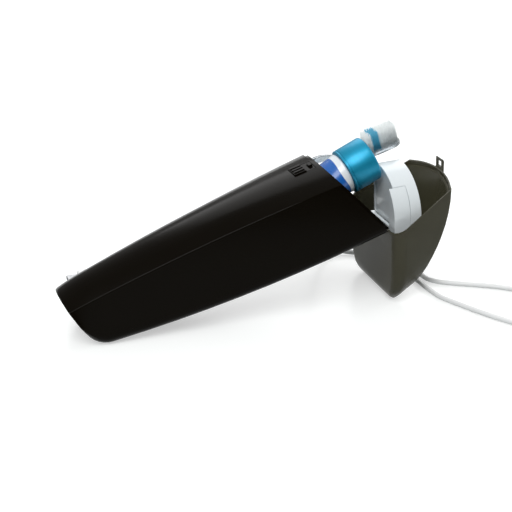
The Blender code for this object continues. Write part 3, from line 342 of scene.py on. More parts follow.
@dataclass(frozen=True)
class NylonFilament:
    """Drawn nylon: thin, milky and slightly see-through, so a tuft glows at its tips."""

    name: str
    root: str
    tip: str
    strand_mm: float = 0.7

    def make(self) -> Material:
        """Build the material.

        Returns:
            The finished material.
        """
        material, tree, surface = start_material(self.name)
        place = add_node(tree, "ShaderNodeTexCoord").outputs["Object"]
        strand = add_node(tree, "ShaderNodeTexNoise", {
            "Vector": place, "Scale": per_metre(self.strand_mm), "Detail": 1.0,
        })
        set_surface(tree, surface, {
            "Base Color": blend(tree, strand.outputs[0], linear(self.root), linear(self.tip)),
            "Roughness": spread(tree, strand.outputs[0], 0.34, 0.46),
            "Transmission Weight": 0.12,
            "IOR": 1.53,
        })
        return material


@dataclass(frozen=True)
class CircuitBoard:
    """Glass-epoxy board under green solder mask, with raised copper lines and bright pads."""

    name: str
    mask: str
    copper: str
    pad: str

    def make(self) -> Material:
        """Build the material.

        Returns:
            The finished material.
        """
        material, tree, surface = start_material(self.name)
        place = add_node(tree, "ShaderNodeTexCoord").outputs["Object"]
        lines = add_node(tree, "ShaderNodeTexBrick", {
            "Vector": place, "Scale": per_metre(3.0), "Mortar Size": 0.06, "Mortar Smooth": 0.2,
        })
        pads = add_node(tree, "ShaderNodeTexVoronoi", {"Vector": place, "Scale": per_metre(2.4)})
        dots = add_node(tree, "ShaderNodeMapRange", {
            "Value": pads.outputs["Distance"], "From Min": 0.14, "From Max": 0.17,
            "To Min": 1.0, "To Max": 0.0,
        })
        traced = blend(tree, lines.outputs[1], linear(self.mask), linear(self.copper))
        bump = add_node(tree, "ShaderNodeBump", {
            "Height": lines.outputs[1], "Strength": 0.5, "Distance": 0.05 * MILLIMETRE,
        })
        set_surface(tree, surface, {
            "Base Color": blend(tree, dots.outputs[0], traced, linear(self.pad)),
            "Metallic": dots.outputs[0],
            "Roughness": 0.38,
            "Normal": bump.outputs[0],
        })
        return material


@dataclass(frozen=True)
class TurnedSteel:
    """Drawn steel with fine lines left by the die."""

    name: str
    colour: str
    shade: str
    roughness: float = 0.3

    def make(self) -> Material:
        """Build the material.

        Returns:
            The finished material.
        """
        material, tree, surface = start_material(self.name)
        place = add_node(tree, "ShaderNodeTexCoord").outputs["Object"]
        drawn = add_node(tree, "ShaderNodeMapping", {"Vector": place, "Scale": (1.0, 0.06, 1.0)})
        grain = add_node(tree, "ShaderNodeTexNoise", {
            "Vector": drawn.outputs[0], "Scale": per_metre(0.25), "Detail": 2.0,
        })
        set_surface(tree, surface, {
            "Base Color": blend(tree, grain.outputs[0], linear(self.colour), linear(self.shade)),
            "Roughness": spread(tree, grain.outputs[0], self.roughness * 0.8, self.roughness * 1.3),
            "Metallic": 1.0,
        })
        return material


@dataclass
class CaseFrame:
    """The case's own axes, read from the joints: X to the mouth, Y to the far side, Z out of the crown."""

    joints: dict[str, dict]
    hinge_drop_mm: float = 2.2

    def matrix(self) -> Matrix:
        """Return the turn and place of the case's axes in the world, in metres."""
        up = -Vector(self.joints["button_press"]["axis"]).normalized()
        across = Vector((0.0, 1.0, 0.0))
        along = across.cross(up).normalized()
        origin = Vector(self.joints["lid_hinge"]["pos_m"]) + up * self.hinge_drop_mm * MILLIMETRE
        turn = Matrix((along, across, up)).transposed()
        return Matrix.Translation(origin) @ turn.to_4x4()

    def cap_matrix(self) -> Matrix:
        """Return the axes of the tube and its cap, X forward along the axis from the cap's front."""
        joint = self.joints["cap_turn"]
        forward = Vector(joint["axis"]).normalized()
        if forward.x < 0:
            forward = -forward
        side = Vector((0.0, 0.0, 1.0)).cross(forward).normalized()
        turn = Matrix((forward, side, forward.cross(side))).transposed()
        return Matrix.Translation(Vector(joint["pos_m"])) @ turn.to_4x4()


@dataclass
class Workshop:
    """Makes pieces from the frame's nodes and puts them on their bodies."""

    nodes: dict[str, Piece]
    slots: dict[str, str]

    def register(self, piece: Piece, body: Body, *nodes: str) -> Piece:
        """Let a piece stand for nodes, which are hidden, and ride on a body.

        Args:
            piece: The finished piece.
            body: The body that it moves with.
            nodes: The nodes that it stands for.

        Returns:
            The same piece.
        """
        if nodes:
            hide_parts(*nodes)
        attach(piece, body.value)
        LOG.info("%s rides on %s", piece.name, body.value)
        return piece

    def link(self, name: str, mesh: bpy.types.Mesh, smooth_deg: float = 32.0) -> Piece:
        """Make an object of a mesh, smooth where its faces meet below an angle.

        Args:
            name: Name of the object.
            mesh: Its mesh, already in place.
            smooth_deg: Faces that meet at less than this are shaded as one surface.

        Returns:
            The new object.
        """
        mesh.shade_smooth()
        mesh.set_sharp_from_angle(angle=math.radians(smooth_deg))
        piece = bpy.data.objects.new(name, mesh)
        bpy.context.scene.collection.objects.link(piece)
        return piece

    def skin(self, node: str, body: Body, finish: Material, edge: Edge, smooth_deg: float = 32.0) -> Piece:
        """Copy a node's surface, merge it, round its edges and give it a finish.

        Args:
            node: The node that the piece stands for.
            body: The body that it moves with.
            finish: Its material.
            edge: How far its edges are rounded.
            smooth_deg: Faces that meet at less than this are shaded as one surface.

        Returns:
            The new piece.
        """
        shape = bmesh.new()
        shape.from_mesh(self.nodes[node].data)
        bmesh.ops.remove_doubles(shape, verts=shape.verts, dist=MERGE_DISTANCE)
        if edge is not Edge.LOFTED:
            flat = math.radians(0.6)
            bmesh.ops.dissolve_limit(shape, angle_limit=flat, verts=shape.verts, edges=shape.edges)
        mesh = bpy.data.meshes.new(node + "_skin")
        shape.to_mesh(mesh)
        shape.free()
        if "custom_normal" in mesh.attributes:
            mesh.attributes.remove(mesh.attributes["custom_normal"])
        mesh.materials.clear()
        mesh.materials.append(finish)
        piece = self.link(node + "_skin", mesh, smooth_deg)
        if edge is not Edge.LOFTED:
            rounding = piece.modifiers.new("edges", "BEVEL")
            rounding.width = edge.value * MILLIMETRE
            rounding.segments = 3
            rounding.limit_method = "ANGLE"
            rounding.angle_limit = math.radians(smooth_deg)
            rounding.harden_normals = True
        weights = piece.modifiers.new("normals", "WEIGHTED_NORMAL")
        weights.keep_sharp = True
        return self.register(piece, body, node)

    def grown(self, name: str, tree: Tree, inputs: dict[str, object], placing: Matrix) -> Piece:
        """Run a geometry tree once and keep the result as a plain mesh in place.

        Args:
            name: Name of the piece.
            tree: Geometry group whose sizes are named inputs.
            inputs: Values by the name of the group's input.
            placing: From the tree's own axes to the world.

        Returns:
            The new piece, not yet on a body.
        """
        piece = bpy.data.objects.new(name, bpy.data.meshes.new(name))
        bpy.context.scene.collection.objects.link(piece)
        modifier = piece.modifiers.new("grow", "NODES")
        modifier.node_group = tree
        names = {item.name: item.identifier for item in tree.interface.items_tree if item.in_out == "INPUT"}
        for label, value in inputs.items():
            modifier[names[label]] = value
        ready = piece.evaluated_get(bpy.context.evaluated_depsgraph_get())
        mesh = bpy.data.meshes.new_from_object(ready)
        piece.modifiers.clear()
        piece.data = mesh
        mesh.transform(placing)
        return piece


@dataclass
class Finishes:
    """The materials of the object, each made once."""

    tube_axis: Matrix
    made: dict[str, Material] = field(default_factory=dict)

    def stock(self) -> dict[str, Material]:
        """Make every finish.

        Returns:
            The materials by short name.
        """
        choices = {
            # Smoked polycarbonate, polished mould: near black, deep gloss, brown where light gets in.
            "smoke": MouldedPlastic(
                "smoked polycarbonate", "#080502", "#0d0a05", 0.2, specular=0.05, ripple_depth_mm=0.008,
            ),
            # The same resin with less dye: light comes through the thin walls in olive grey.
            "smoke_lid": MouldedPlastic(
                "light smoked polycarbonate", "#4a4838", "#413f30", 0.22, specular=0.06,
                transmission=0.25, ripple_depth_mm=0.008,
            ),
            # Gloss ABS: white with a faint blue tint that is painted reflection of the blue cap, and a soft
            # moulded shine.
            "white": MouldedPlastic(
                "gloss white abs", "#e2e8ea", "#d9e0e3", 0.2, flow_mm=30.0, coat=0.25,
            ),
            # Glass-filled nylon: black, dull, with a coarse moulded skin.
            "nylon": MouldedPlastic(
                "black nylon", "#17171a", "#1f1f22", 0.5, ripple_mm=0.6, ripple_depth_mm=0.03,
            ),
            # Clear copolyester: water-clear, with bright edges.
            "clear": MouldedPlastic(
                "clear copolyester", "#c6ced3", "#bcc5ca", 0.12, transmission=0.7, ior=1.57,
                ripple_depth_mm=0.006,
            ),
            # Fused quartz: clear with a cold tint.
            "quartz": MouldedPlastic(
                "quartz pane", "#dfe4f4", "#d6dcf0", 0.05, transmission=0.95, ior=1.46,
                ripple_depth_mm=0.003,
            ),
            # Ceramic emitter package: chalky, pale yellow.
            "emitter": MouldedPlastic(
                "ceramic emitter", "#e4dfc0", "#d8d2ae", 0.45, ripple_mm=0.8, ripple_depth_mm=0.02,
            ),
            # Flexible PVC: soft white sheath with a satin skin.
            "cord": MouldedPlastic(
                "white pvc sheath", "#eceded", "#e2e4e4", 0.38, ripple_mm=1.2, ripple_depth_mm=0.03,
            ),
            "steel": TurnedSteel("plain steel", "#b9babc", "#9fa1a4"),
            "board": CircuitBoard("circuit board", "#0f4a2c", "#2b7a4b", "#c9b676"),
            "blue": MetallisedPlastic("metallised blue cap", "#1096ba", "#0c8bb0", 0.44),
            "laminate": PrintedLaminate("printed laminate", "#e8eef2", "#1460b4", "#3fb2dc", self.tube_axis),
            "bristle_white": NylonFilament("milky nylon filament", "#eef5f5", "#fdffff"),
            "bristle_blue": NylonFilament("blue nylon filament", "#3aa6cd", "#66c4de"),
        }
        for label, choice in choices.items():
            self.made[label] = choice.make()
        return self.made


@dataclass
class Studio:
    """A pale floor, soft lamps, a graded sky and the camera at the photograph's angle."""

    target_mm: tuple[float, float, float] = (7.87, 22.27, 20.32)
    distance_mm: float = 765.0
    heading_deg: float = 20.0
    elevation_deg: float = 24.18
    focal_px: float = 1284.45
    frame_px: float = 512.0
    sensor_mm: float = 36.0
    floor_front: float = -0.42
    floor_back: float = 3.2
    floor_half: float = 2.4
    floor_drop: float = 0.0002
    lamps: tuple = (
        ("key", (-0.55, -0.95, 1.4), 1.1, 24.0),
        ("back", (0.35, 1.25, 1.1), 1.2, 9.0),
        ("side", (1.35, -0.1, 0.8), 0.9, 5.0),
    )

    def build(self) -> None:
        """Make the camera, the floor, the lamps and the sky."""
        bpy.context.scene.view_settings.view_transform = "Standard"
        self.camera()
        self.floor()
        for name, place, size, watts in self.lamps:
            self.lamp(name, place, size, watts)
        self.sky()

    def camera(self) -> None:
        """Place the camera as the photograph's lens saw the case."""
        heading = math.radians(self.heading_deg)
        down = math.radians(self.elevation_deg)
        forward = Vector((
            math.sin(heading) * math.cos(down), math.cos(heading) * math.cos(down), -math.sin(down),
        ))
        data = bpy.data.cameras.new("camera")
        data.sensor_width = self.sensor_mm
        data.lens = self.sensor_mm * self.focal_px / self.frame_px
        data.clip_start = 0.01
        data.clip_end = 20.0
        camera = bpy.data.objects.new("camera", data)
        camera.location = (Vector(self.target_mm) - forward * self.distance_mm) * MILLIMETRE
        camera.rotation_euler = forward.to_track_quat("-Z", "Y").to_euler()
        bpy.context.scene.collection.objects.link(camera)
        bpy.context.scene.camera = camera

    def seen_directly(self, tree: Tree) -> Socket:
        """Return 1 for rays from the camera, mirrors and glass, and 0 for light."""
        path = add_node(tree, "ShaderNodeLightPath")
        share = path.outputs["Is Camera Ray"]
        for name in ("Is Glossy Ray", "Is Transmission Ray"):
            share = add_node(
                tree, "ShaderNodeMath", {0: share, 1: path.outputs[name]}, operation="MAXIMUM",
            ).outputs[0]
        return share

    def floor(self) -> None:
        """Lay a pale floor that keeps soft shadows and a faint mirror image."""
        corners = (
            (-self.floor_half, self.floor_front), (self.floor_half, self.floor_front),
            (self.floor_half, self.floor_back), (-self.floor_half, self.floor_back),
        )
        mesh = bpy.data.meshes.new("floor")
        mesh.from_pydata([(x, y, -self.floor_drop) for x, y in corners], [], [(0, 1, 2, 3)])
        floor = bpy.data.objects.new("floor", mesh)
        bpy.context.scene.collection.objects.link(floor)
        material, tree, surface = start_material("pale floor")
        set_surface(tree, surface, {
            "Base Color": linear("#c9cccb"), "Roughness": 0.28, "Specular IOR Level": 0.25,
        })
        paper = add_node(tree, "ShaderNodeEmission", {"Color": linear("#ffffff"), "Strength": 0.5})
        lifted = add_node(tree, "ShaderNodeAddShader", {0: surface.outputs[0], 1: paper.outputs[0]})
        mix = add_node(tree, "ShaderNodeMixShader", {
            0: self.seen_directly(tree), 1: surface.outputs[0], 2: lifted.outputs[0],
        })
        tree.links.new(mix.outputs[0], tree.nodes["Material Output"].inputs["Surface"])
        mesh.materials.append(material)

    def lamp(self, name: str, place: tuple[float, float, float], size: float, watts: float) -> None:
        """Hang a square soft lamp that looks at the case.

        Args:
            name: Name of the lamp.
            place: Where it hangs, in metres.
            size: Side of its square, in metres.
            watts: Its power.
        """
        data = bpy.data.lights.new(name, "AREA")
        data.shape = "SQUARE"
        data.size = size
        data.energy = watts
        lamp = bpy.data.objects.new(name, data)
        lamp.location = place
        aim = Vector(self.target_mm) * MILLIMETRE - Vector(place)
        lamp.rotation_euler = aim.to_track_quat("-Z", "Y").to_euler()
        bpy.context.scene.collection.objects.link(lamp)

    def sky(self) -> None:
        """Grade the sky from a bright top to a dim front, white where the camera sees it."""
        world = bpy.data.worlds.new("studio sky")
        world.use_nodes = True
        tree = world.node_tree
        tree.nodes.clear()
        way = add_node(tree, "ShaderNodeTexCoord").outputs["Generated"]
        parts = add_node(tree, "ShaderNodeSeparateXYZ", {"Vector": way})
        height = add_node(tree, "ShaderNodeMapRange", {
            "Value": parts.outputs["Z"], "From Min": -0.2, "From Max": 0.9, "To Min": 0.26, "To Max": 0.6,
        })
        depth = add_node(tree, "ShaderNodeMapRange", {
            "Value": parts.outputs["Y"], "From Min": -0.9, "From Max": 0.1, "To Min": 0.1, "To Max": 1.0,
        })
        level = add_node(tree, "ShaderNodeMath", {
            0: height.outputs[0], 1: depth.outputs[0],
        }, operation="MULTIPLY")
        light = add_node(tree, "ShaderNodeBackground", {
            "Color": linear("#ffffff"), "Strength": level.outputs[0],
        })
        white = add_node(tree, "ShaderNodeBackground", {"Color": linear("#ffffff"), "Strength": 1.0})
        path = add_node(tree, "ShaderNodeLightPath")
        share = add_node(tree, "ShaderNodeMath", {
            0: path.outputs["Is Camera Ray"], 1: path.outputs["Is Transmission Ray"],
        }, operation="MAXIMUM")
        mix = add_node(tree, "ShaderNodeMixShader", {
            0: share.outputs[0], 1: light.outputs[0], 2: white.outputs[0],
        })
        add_node(tree, "ShaderNodeOutputWorld", {"Surface": mix.outputs[0]})
        bpy.context.scene.world = world


@dataclass
class Lead:
    """The power lead: a white cord from the gland, along the floor, into a coil and to its plug."""

    shop: Workshop
    finishes: dict[str, Material]
    foot_mm: float
    radius_mm: float = 1.5
    level_mm: float = 1.75
    gap_mm: float = 0.3
    coil_centre_mm: tuple[float, float] = (-62.0, 68.0)
    coil_inner_mm: float = 14.0
    coil_pitch_mm: float = 3.7
    coil_turns: int = 3
    coil_points: int = 48
    plug_back_mm: float = 78.0
    plug_level_mm: float = 3.3
    rib_count: int = 7
    rib_pitch_mm: float = 1.3
    rib_mm: float = 0.7
    rib_start_mm: float = 4.0
    rib_sunk_mm: float = 0.15
    rib_share: float = 0.62

    def on_floor(self, x: float, y: float, height: float | None = None) -> Vector:
        """Return a point of the route in millimetres, X from below the case's hinge corner."""
        return Vector((x + self.foot_mm, y, self.level_mm if height is None else height))

    def coil(self) -> list[Vector]:
        """Return the wound lead: in along the lower layer, then out along the upper one."""
        points = []
        total = 2 * self.coil_turns * self.coil_points
        half = total // 2
        climb = self.coil_points // 2
        for index in range(total + 1):
            angle = 2 * math.pi * (index / self.coil_points + 0.25)
            radius = self.coil_inner_mm + self.coil_pitch_mm * abs(index - half) / self.coil_points
            lift = self.coil_pitch_mm * clamp((index - half + climb / 2) / climb)
            points.append(self.on_floor(
                self.coil_centre_mm[0] + radius * math.cos(angle),
                self.coil_centre_mm[1] + radius * math.sin(angle),
                self.level_mm + lift,
            ))
        return points

    def smooth(self, points: list[Vector], steps: int = 6) -> list[Vector]:
        """Return a smooth curve through chosen points whose ends stay straight.

        Args:
            points: Chosen points in millimetres.
            steps: Points made for each stretch.

        Returns:
            The curve's points, none below the floor's level.
        """
        inner = points[1:-1]
        ends = [inner[0] * 2 - inner[1]] + inner + [inner[-1] * 2 - inner[-2]]
        made = [points[0]]
        for a, b, c, d in zip(ends, ends[1:], ends[2:], ends[3:]):
            for step in range(steps):
                t = step / steps
                spot = 0.5 * (
                    2 * b + (c - a) * t + (2 * a - 5 * b + 4 * c - d) * t ** 2
                    + (3 * b - a - 3 * c + d) * t ** 3
                )
                spot.z = max(spot.z, self.level_mm)
                made.append(spot)
        return made + [inner[-1], points[-1]]

    def run(self, start: Vector, coil: list[Vector]) -> list[Vector]:
        """Return the stretch from the gland to the coil, through the photograph's two strands.

        Args:
            start: Where the cord leaves the gland's boot, in millimetres.
            coil: The coil's points.

        Returns:
            The stretch's points.
        """
        x = start.x - self.foot_mm
        y = start.y
        z = start.z
        lead_in = (coil[0] - coil[1]).normalized()
        chosen = [
            start,
            self.on_floor(x, y + 3.2, z),
            self.on_floor(x + 1.0, y + 8.0, z - 3.0),
            self.on_floor(x + 4.0, y + 10.5, z * 0.5),
            self.on_floor(x + 12.0, y + 9.0, self.level_mm + 4.0),
            self.on_floor(x + 26.0, y + 4.0),
            self.on_floor(28.0, 32.0),
            self.on_floor(33.0, 10.0),
            self.on_floor(32.5, -6.5),
            self.on_floor(34.1, -25.9),
            self.on_floor(38.0, -38.2),
            self.on_floor(55.5, -70.9),
            self.on_floor(78.0, -96.0),
            self.on_floor(104.0, -90.0),
            self.on_floor(104.0, -62.0),
            self.on_floor(77.5, -33.8),
            self.on_floor(49.7, -16.4),
            self.on_floor(42.1, -10.6),
            self.on_floor(38.5, -3.0),
            self.on_floor(39.0, 14.0),
            self.on_floor(36.0, 38.0),
            self.on_floor(20.0, 66.0),
            self.on_floor(-8.0, 86.0),
            coil[0] + lead_in * 24.0 + Vector((0.0, 0.4, 0.0)),
            coil[0] + lead_in * (2 * self.radius_mm + self.gap_mm),
            coil[0] + lead_in * self.gap_mm,
        ]
        return self.smooth(chosen)

    def tail(self, coil: list[Vector]) -> list[Vector]:
        """Return the stretch from the coil to the plug.

        Args:
            coil: The coil's points.

        Returns:
            The stretch's points.
        """
        lead_out = (coil[-1] - coil[-2]).normalized()
        x, y = self.coil_centre_mm
        plug_x = x - self.plug_back_mm
        plug_y = y - 4.0
        chosen = [
            coil[-1] + lead_out * self.gap_mm,
            coil[-1] + lead_out * (2 * self.radius_mm + self.gap_mm),
            self.on_floor(x - 24.0, y + 26.0, self.level_mm + 1.2),
            self.on_floor(x - 46.0, y + 14.0),
            self.on_floor(plug_x + 14.0, plug_y + 1.0, self.plug_level_mm - 0.8),
            self.on_floor(plug_x + 2 * self.radius_mm + self.gap_mm, plug_y, self.plug_level_mm),
            self.on_floor(plug_x + self.gap_mm, plug_y, self.plug_level_mm),
        ]
        return self.smooth(chosen)

    def grip_tree(self) -> Tree:
        """Return a geometry group that sets out the ribs of the plug's grip."""
        tree = bpy.data.node_groups.new("plug grip ribs", "GeometryNodeTree")
        tree.interface.new_socket("Count", in_out="INPUT", socket_type="NodeSocketInt")
        tree.interface.new_socket("Pitch", in_out="INPUT", socket_type="NodeSocketFloat")
        tree.interface.new_socket("Size", in_out="INPUT", socket_type="NodeSocketVector")
        tree.interface.new_socket("Finish", in_out="INPUT", socket_type="NodeSocketMaterial")
        tree.interface.new_socket("Geometry", in_out="OUTPUT", socket_type="NodeSocketGeometry")
        given = add_node(tree, "NodeGroupInput").outputs
        step = add_node(tree, "ShaderNodeCombineXYZ", {"X": given["Pitch"]})
        line = add_node(tree, "GeometryNodeMeshLine", {
            "Count": given["Count"], "Offset": step.outputs[0],
        })
        rib = add_node(tree, "GeometryNodeMeshCylinder", {
            "Vertices": 12, "Radius": 0.5, "Depth": 1.0,
        })
        stand = add_node(tree, "GeometryNodeTransform", {
            "Geometry": rib.outputs["Mesh"], "Rotation": (math.pi / 2, 0.0, 0.0),
        })
        ribs = add_node(tree, "GeometryNodeInstanceOnPoints", {
            "Points": line.outputs[0], "Instance": stand.outputs[0], "Scale": given["Size"],
        })
        whole = add_node(tree, "GeometryNodeRealizeInstances", {"Geometry": ribs.outputs[0]})
        dressed = add_node(tree, "GeometryNodeSetMaterial", {
            "Geometry": whole.outputs[0], "Material": given["Finish"],
        })
        add_node(tree, "NodeGroupOutput", {"Geometry": dressed.outputs[0]})
        return tree

    def grip(self) -> Piece:
        """Return the plug's grip ribs, proud of its top."""
        low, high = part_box("plug_body")
        middle = (low + high) / 2
        start = low.x + self.rib_start_mm * MILLIMETRE
        sunk = self.rib_sunk_mm * MILLIMETRE
        thick = self.rib_mm * MILLIMETRE
        place = Matrix.Translation((start, middle.y, high.z - sunk))
        ribs = self.shop.grown("plug_grip_ribs", self.grip_tree(), {
            "Count": self.rib_count,
            "Pitch": self.rib_pitch_mm * MILLIMETRE,
            "Size": (thick, (high.y - low.y) * self.rib_share, thick),
            "Finish": self.finishes["cord"],
        }, place)
        return self.shop.register(ribs, Body.CASE)

    def build(self) -> None:
        low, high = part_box("cord_gland")
        middle = (low + high) / 2 / MILLIMETRE
        start = Vector((middle.x, high.y / MILLIMETRE + self.gap_mm, middle.z))
        coil = self.coil()
        points = [p * MILLIMETRE for p in self.run(start, coil) + coil + self.tail(coil)]
        data = bpy.data.curves.new("power_lead", "CURVE")
        data.dimensions = "3D"
        data.bevel_depth = self.radius_mm * MILLIMETRE
        data.bevel_resolution = 4
        data.use_fill_caps = True
        line = data.splines.new("POLY")
        line.points.add(len(points) - 1)
        for knot, point in zip(line.points, points):
            knot.co = (*point, 1.0)
        data.materials.append(self.finishes["cord"])
        lead = bpy.data.objects.new("power_lead", data)
        bpy.context.scene.collection.objects.link(lead)
        self.shop.register(lead, Body.CASE, "cord_run", "cord_coil", "cord_tail")
        self.shop.skin("cord_gland", Body.CASE, self.finishes["cord"], Edge.LOFTED, 40.0)
        plug = self.shop.skin("plug_body", Body.CASE, self.finishes["cord"], Edge.LOFTED, 40.0)
        shell = self.shop.skin("plug_shell", Body.CASE, self.finishes["steel"], Edge.CRISP)
        self.grip()


@dataclass
class Shells:
    """The smoked case and lid, their hinge pin, the latch and what the case holds inside."""

    shop: Workshop
    finishes: dict[str, Material]

    def build(self) -> None:
        """Dress the shells, the latch and the inner pieces of the case."""
        self.shop.skin("body_shell", Body.CASE, self.finishes["smoke"], Edge.LOFTED, 27.0)
        self.shop.skin("lid_shell", Body.LID, self.finishes["smoke_lid"], Edge.LOFTED, 62.0)
        self.shop.skin("latch_button", Body.BUTTON, self.finishes["smoke"], Edge.CRISP)
        self.shop.skin("hinge_pin", Body.CASE, self.finishes["steel"], Edge.CRISP)
        for node in ("rail_near", "rail_far"):
            self.shop.skin(node, Body.CASE, self.finishes["nylon"], Edge.MOULDED)
        self.shop.skin("carrier", Body.CARRIER, self.finishes["nylon"], Edge.CRISP)
        self.shop.skin("driver_board", Body.CASE, self.finishes["board"], Edge.CRISP)


@dataclass
class UltravioletPod:
    """The white pod in the lid: cover, base, window, emitters, boards, switch and screws."""

    shop: Workshop
    finishes: dict[str, Material]

    def build(self) -> None:
        """Dress the pod and its works."""
        self.shop.skin("pod_cover", Body.LID, self.finishes["white"], Edge.ROUND, 24.0)
        self.shop.skin("pod_base", Body.LID, self.finishes["white"], Edge.ROUND, 24.0)
        self.shop.skin("uv_window", Body.LID, self.finishes["quartz"], Edge.MOULDED)
        for node in ("uv_board", "control_board"):
            self.shop.skin(node, Body.LID, self.finishes["board"], Edge.CRISP)
        for node in ("uv_led_1", "uv_led_2", "uv_led_3"):
            self.shop.skin(node, Body.LID, self.finishes["emitter"], Edge.MOULDED)
        self.shop.skin("interlock_switch", Body.LID, self.finishes["nylon"], Edge.MOULDED)
        for node in ("pod_screw_1", "pod_screw_2"):
            self.shop.skin(node, Body.LID, self.finishes["steel"], Edge.CRISP)


@dataclass
class PasteTube:
    """The travel tube and its turned cap."""

    shop: Workshop
    finishes: dict[str, Material]
    axis: Matrix
    radius_mm: float = 13.5
    length_mm: float = 17.3
    edge_mm: float = 1.6
    groove_mm: float = 16.2
    dish_mm: float = 0.45
    bore_mm: float = 5.3
    bore_depth_mm: float = 9.6
    sides: int = 96

    def profile(self) -> list[tuple[float, float]]:
        """Return the cap's half section from its dished front to the end of its bore.

        Returns:
            Pairs of the place along the axis and the radius, in millimetres.
        """
        rim = self.radius_mm - self.edge_mm
        points = [
            (-self.dish_mm, 0.0), (-self.dish_mm, 0.62 * rim), (-0.3, 0.66 * rim),
            (-0.05, 0.7 * rim), (0.0, 0.74 * rim),
        ]
        for step in range(7):
            angle = math.radians(15 * step)
            points.append((
                -self.edge_mm * (1 - math.cos(angle)), rim + self.edge_mm * math.sin(angle),
            ))
        points += [
            (-self.groove_mm + 0.5, self.radius_mm),
            (-self.groove_mm + 0.32, self.radius_mm - 0.1),
            (-self.groove_mm + 0.28, self.radius_mm - 0.42),
            (-self.groove_mm - 0.28, self.radius_mm - 0.42),
            (-self.groove_mm - 0.32, self.radius_mm - 0.1),
            (-self.groove_mm - 0.5, self.radius_mm),
            (-self.length_mm + 0.4, self.radius_mm),
            (-self.length_mm + 0.12, self.radius_mm - 0.12),
            (-self.length_mm, self.radius_mm - 0.4),
            (-self.length_mm, self.bore_mm),
            (-self.length_mm + self.bore_depth_mm, self.bore_mm),
            (-self.length_mm + self.bore_depth_mm, 0.0),
        ]
        return points

    def cap(self) -> Piece:
        """Turn the cap's section about its axis, with a map in millimetres round and along it.

        Returns:
            The cap.
        """
        shape = bmesh.new()
        map_layer = shape.loops.layers.uv.new("turned")
        rings = []
        for along, radius in self.profile():
            if radius == 0.0:
                rings.append([shape.verts.new((along, 0.0, 0.0))])
                continue
            rings.append([
                shape.verts.new((
                    along,
                    radius * math.cos(2 * math.pi * side / self.sides),
                    radius * math.sin(2 * math.pi * side / self.sides),
                ))
                for side in range(self.sides)
            ])
        for first, second in zip(rings, rings[1:]):
            for side in range(self.sides):
                after = (side + 1) % self.sides
                corners = [first[side % len(first)], second[side % len(second)]]
                if len(second) > 1:
                    corners.append(second[after])
                if len(first) > 1:
                    corners.append(first[after])
                shape.faces.new(corners)
        bmesh.ops.recalc_face_normals(shape, faces=shape.faces)
        for face in shape.faces:
            for loop in face.loops:
                spot = loop.vert.co
                around = math.atan2(spot.z, spot.y) * self.radius_mm
                loop[map_layer].uv = (around, spot.x + Vector((spot.y, spot.z)).length)
        shape.transform(self.axis @ Matrix.Scale(MILLIMETRE, 4))
        mesh = bpy.data.meshes.new("tube_cap_turned")
        shape.to_mesh(mesh)
        shape.free()
        mesh.materials.append(self.finishes["blue"])
        return self.shop.link("tube_cap_turned", mesh, 38.0)

    def build(self) -> None:
        """Make the cap and dress the tube."""
        self.shop.register(self.cap(), Body.CAP, "tube_cap")
        self.shop.skin("tube_body", Body.CARRIER, self.finishes["laminate"], Edge.LOFTED, 35.0)


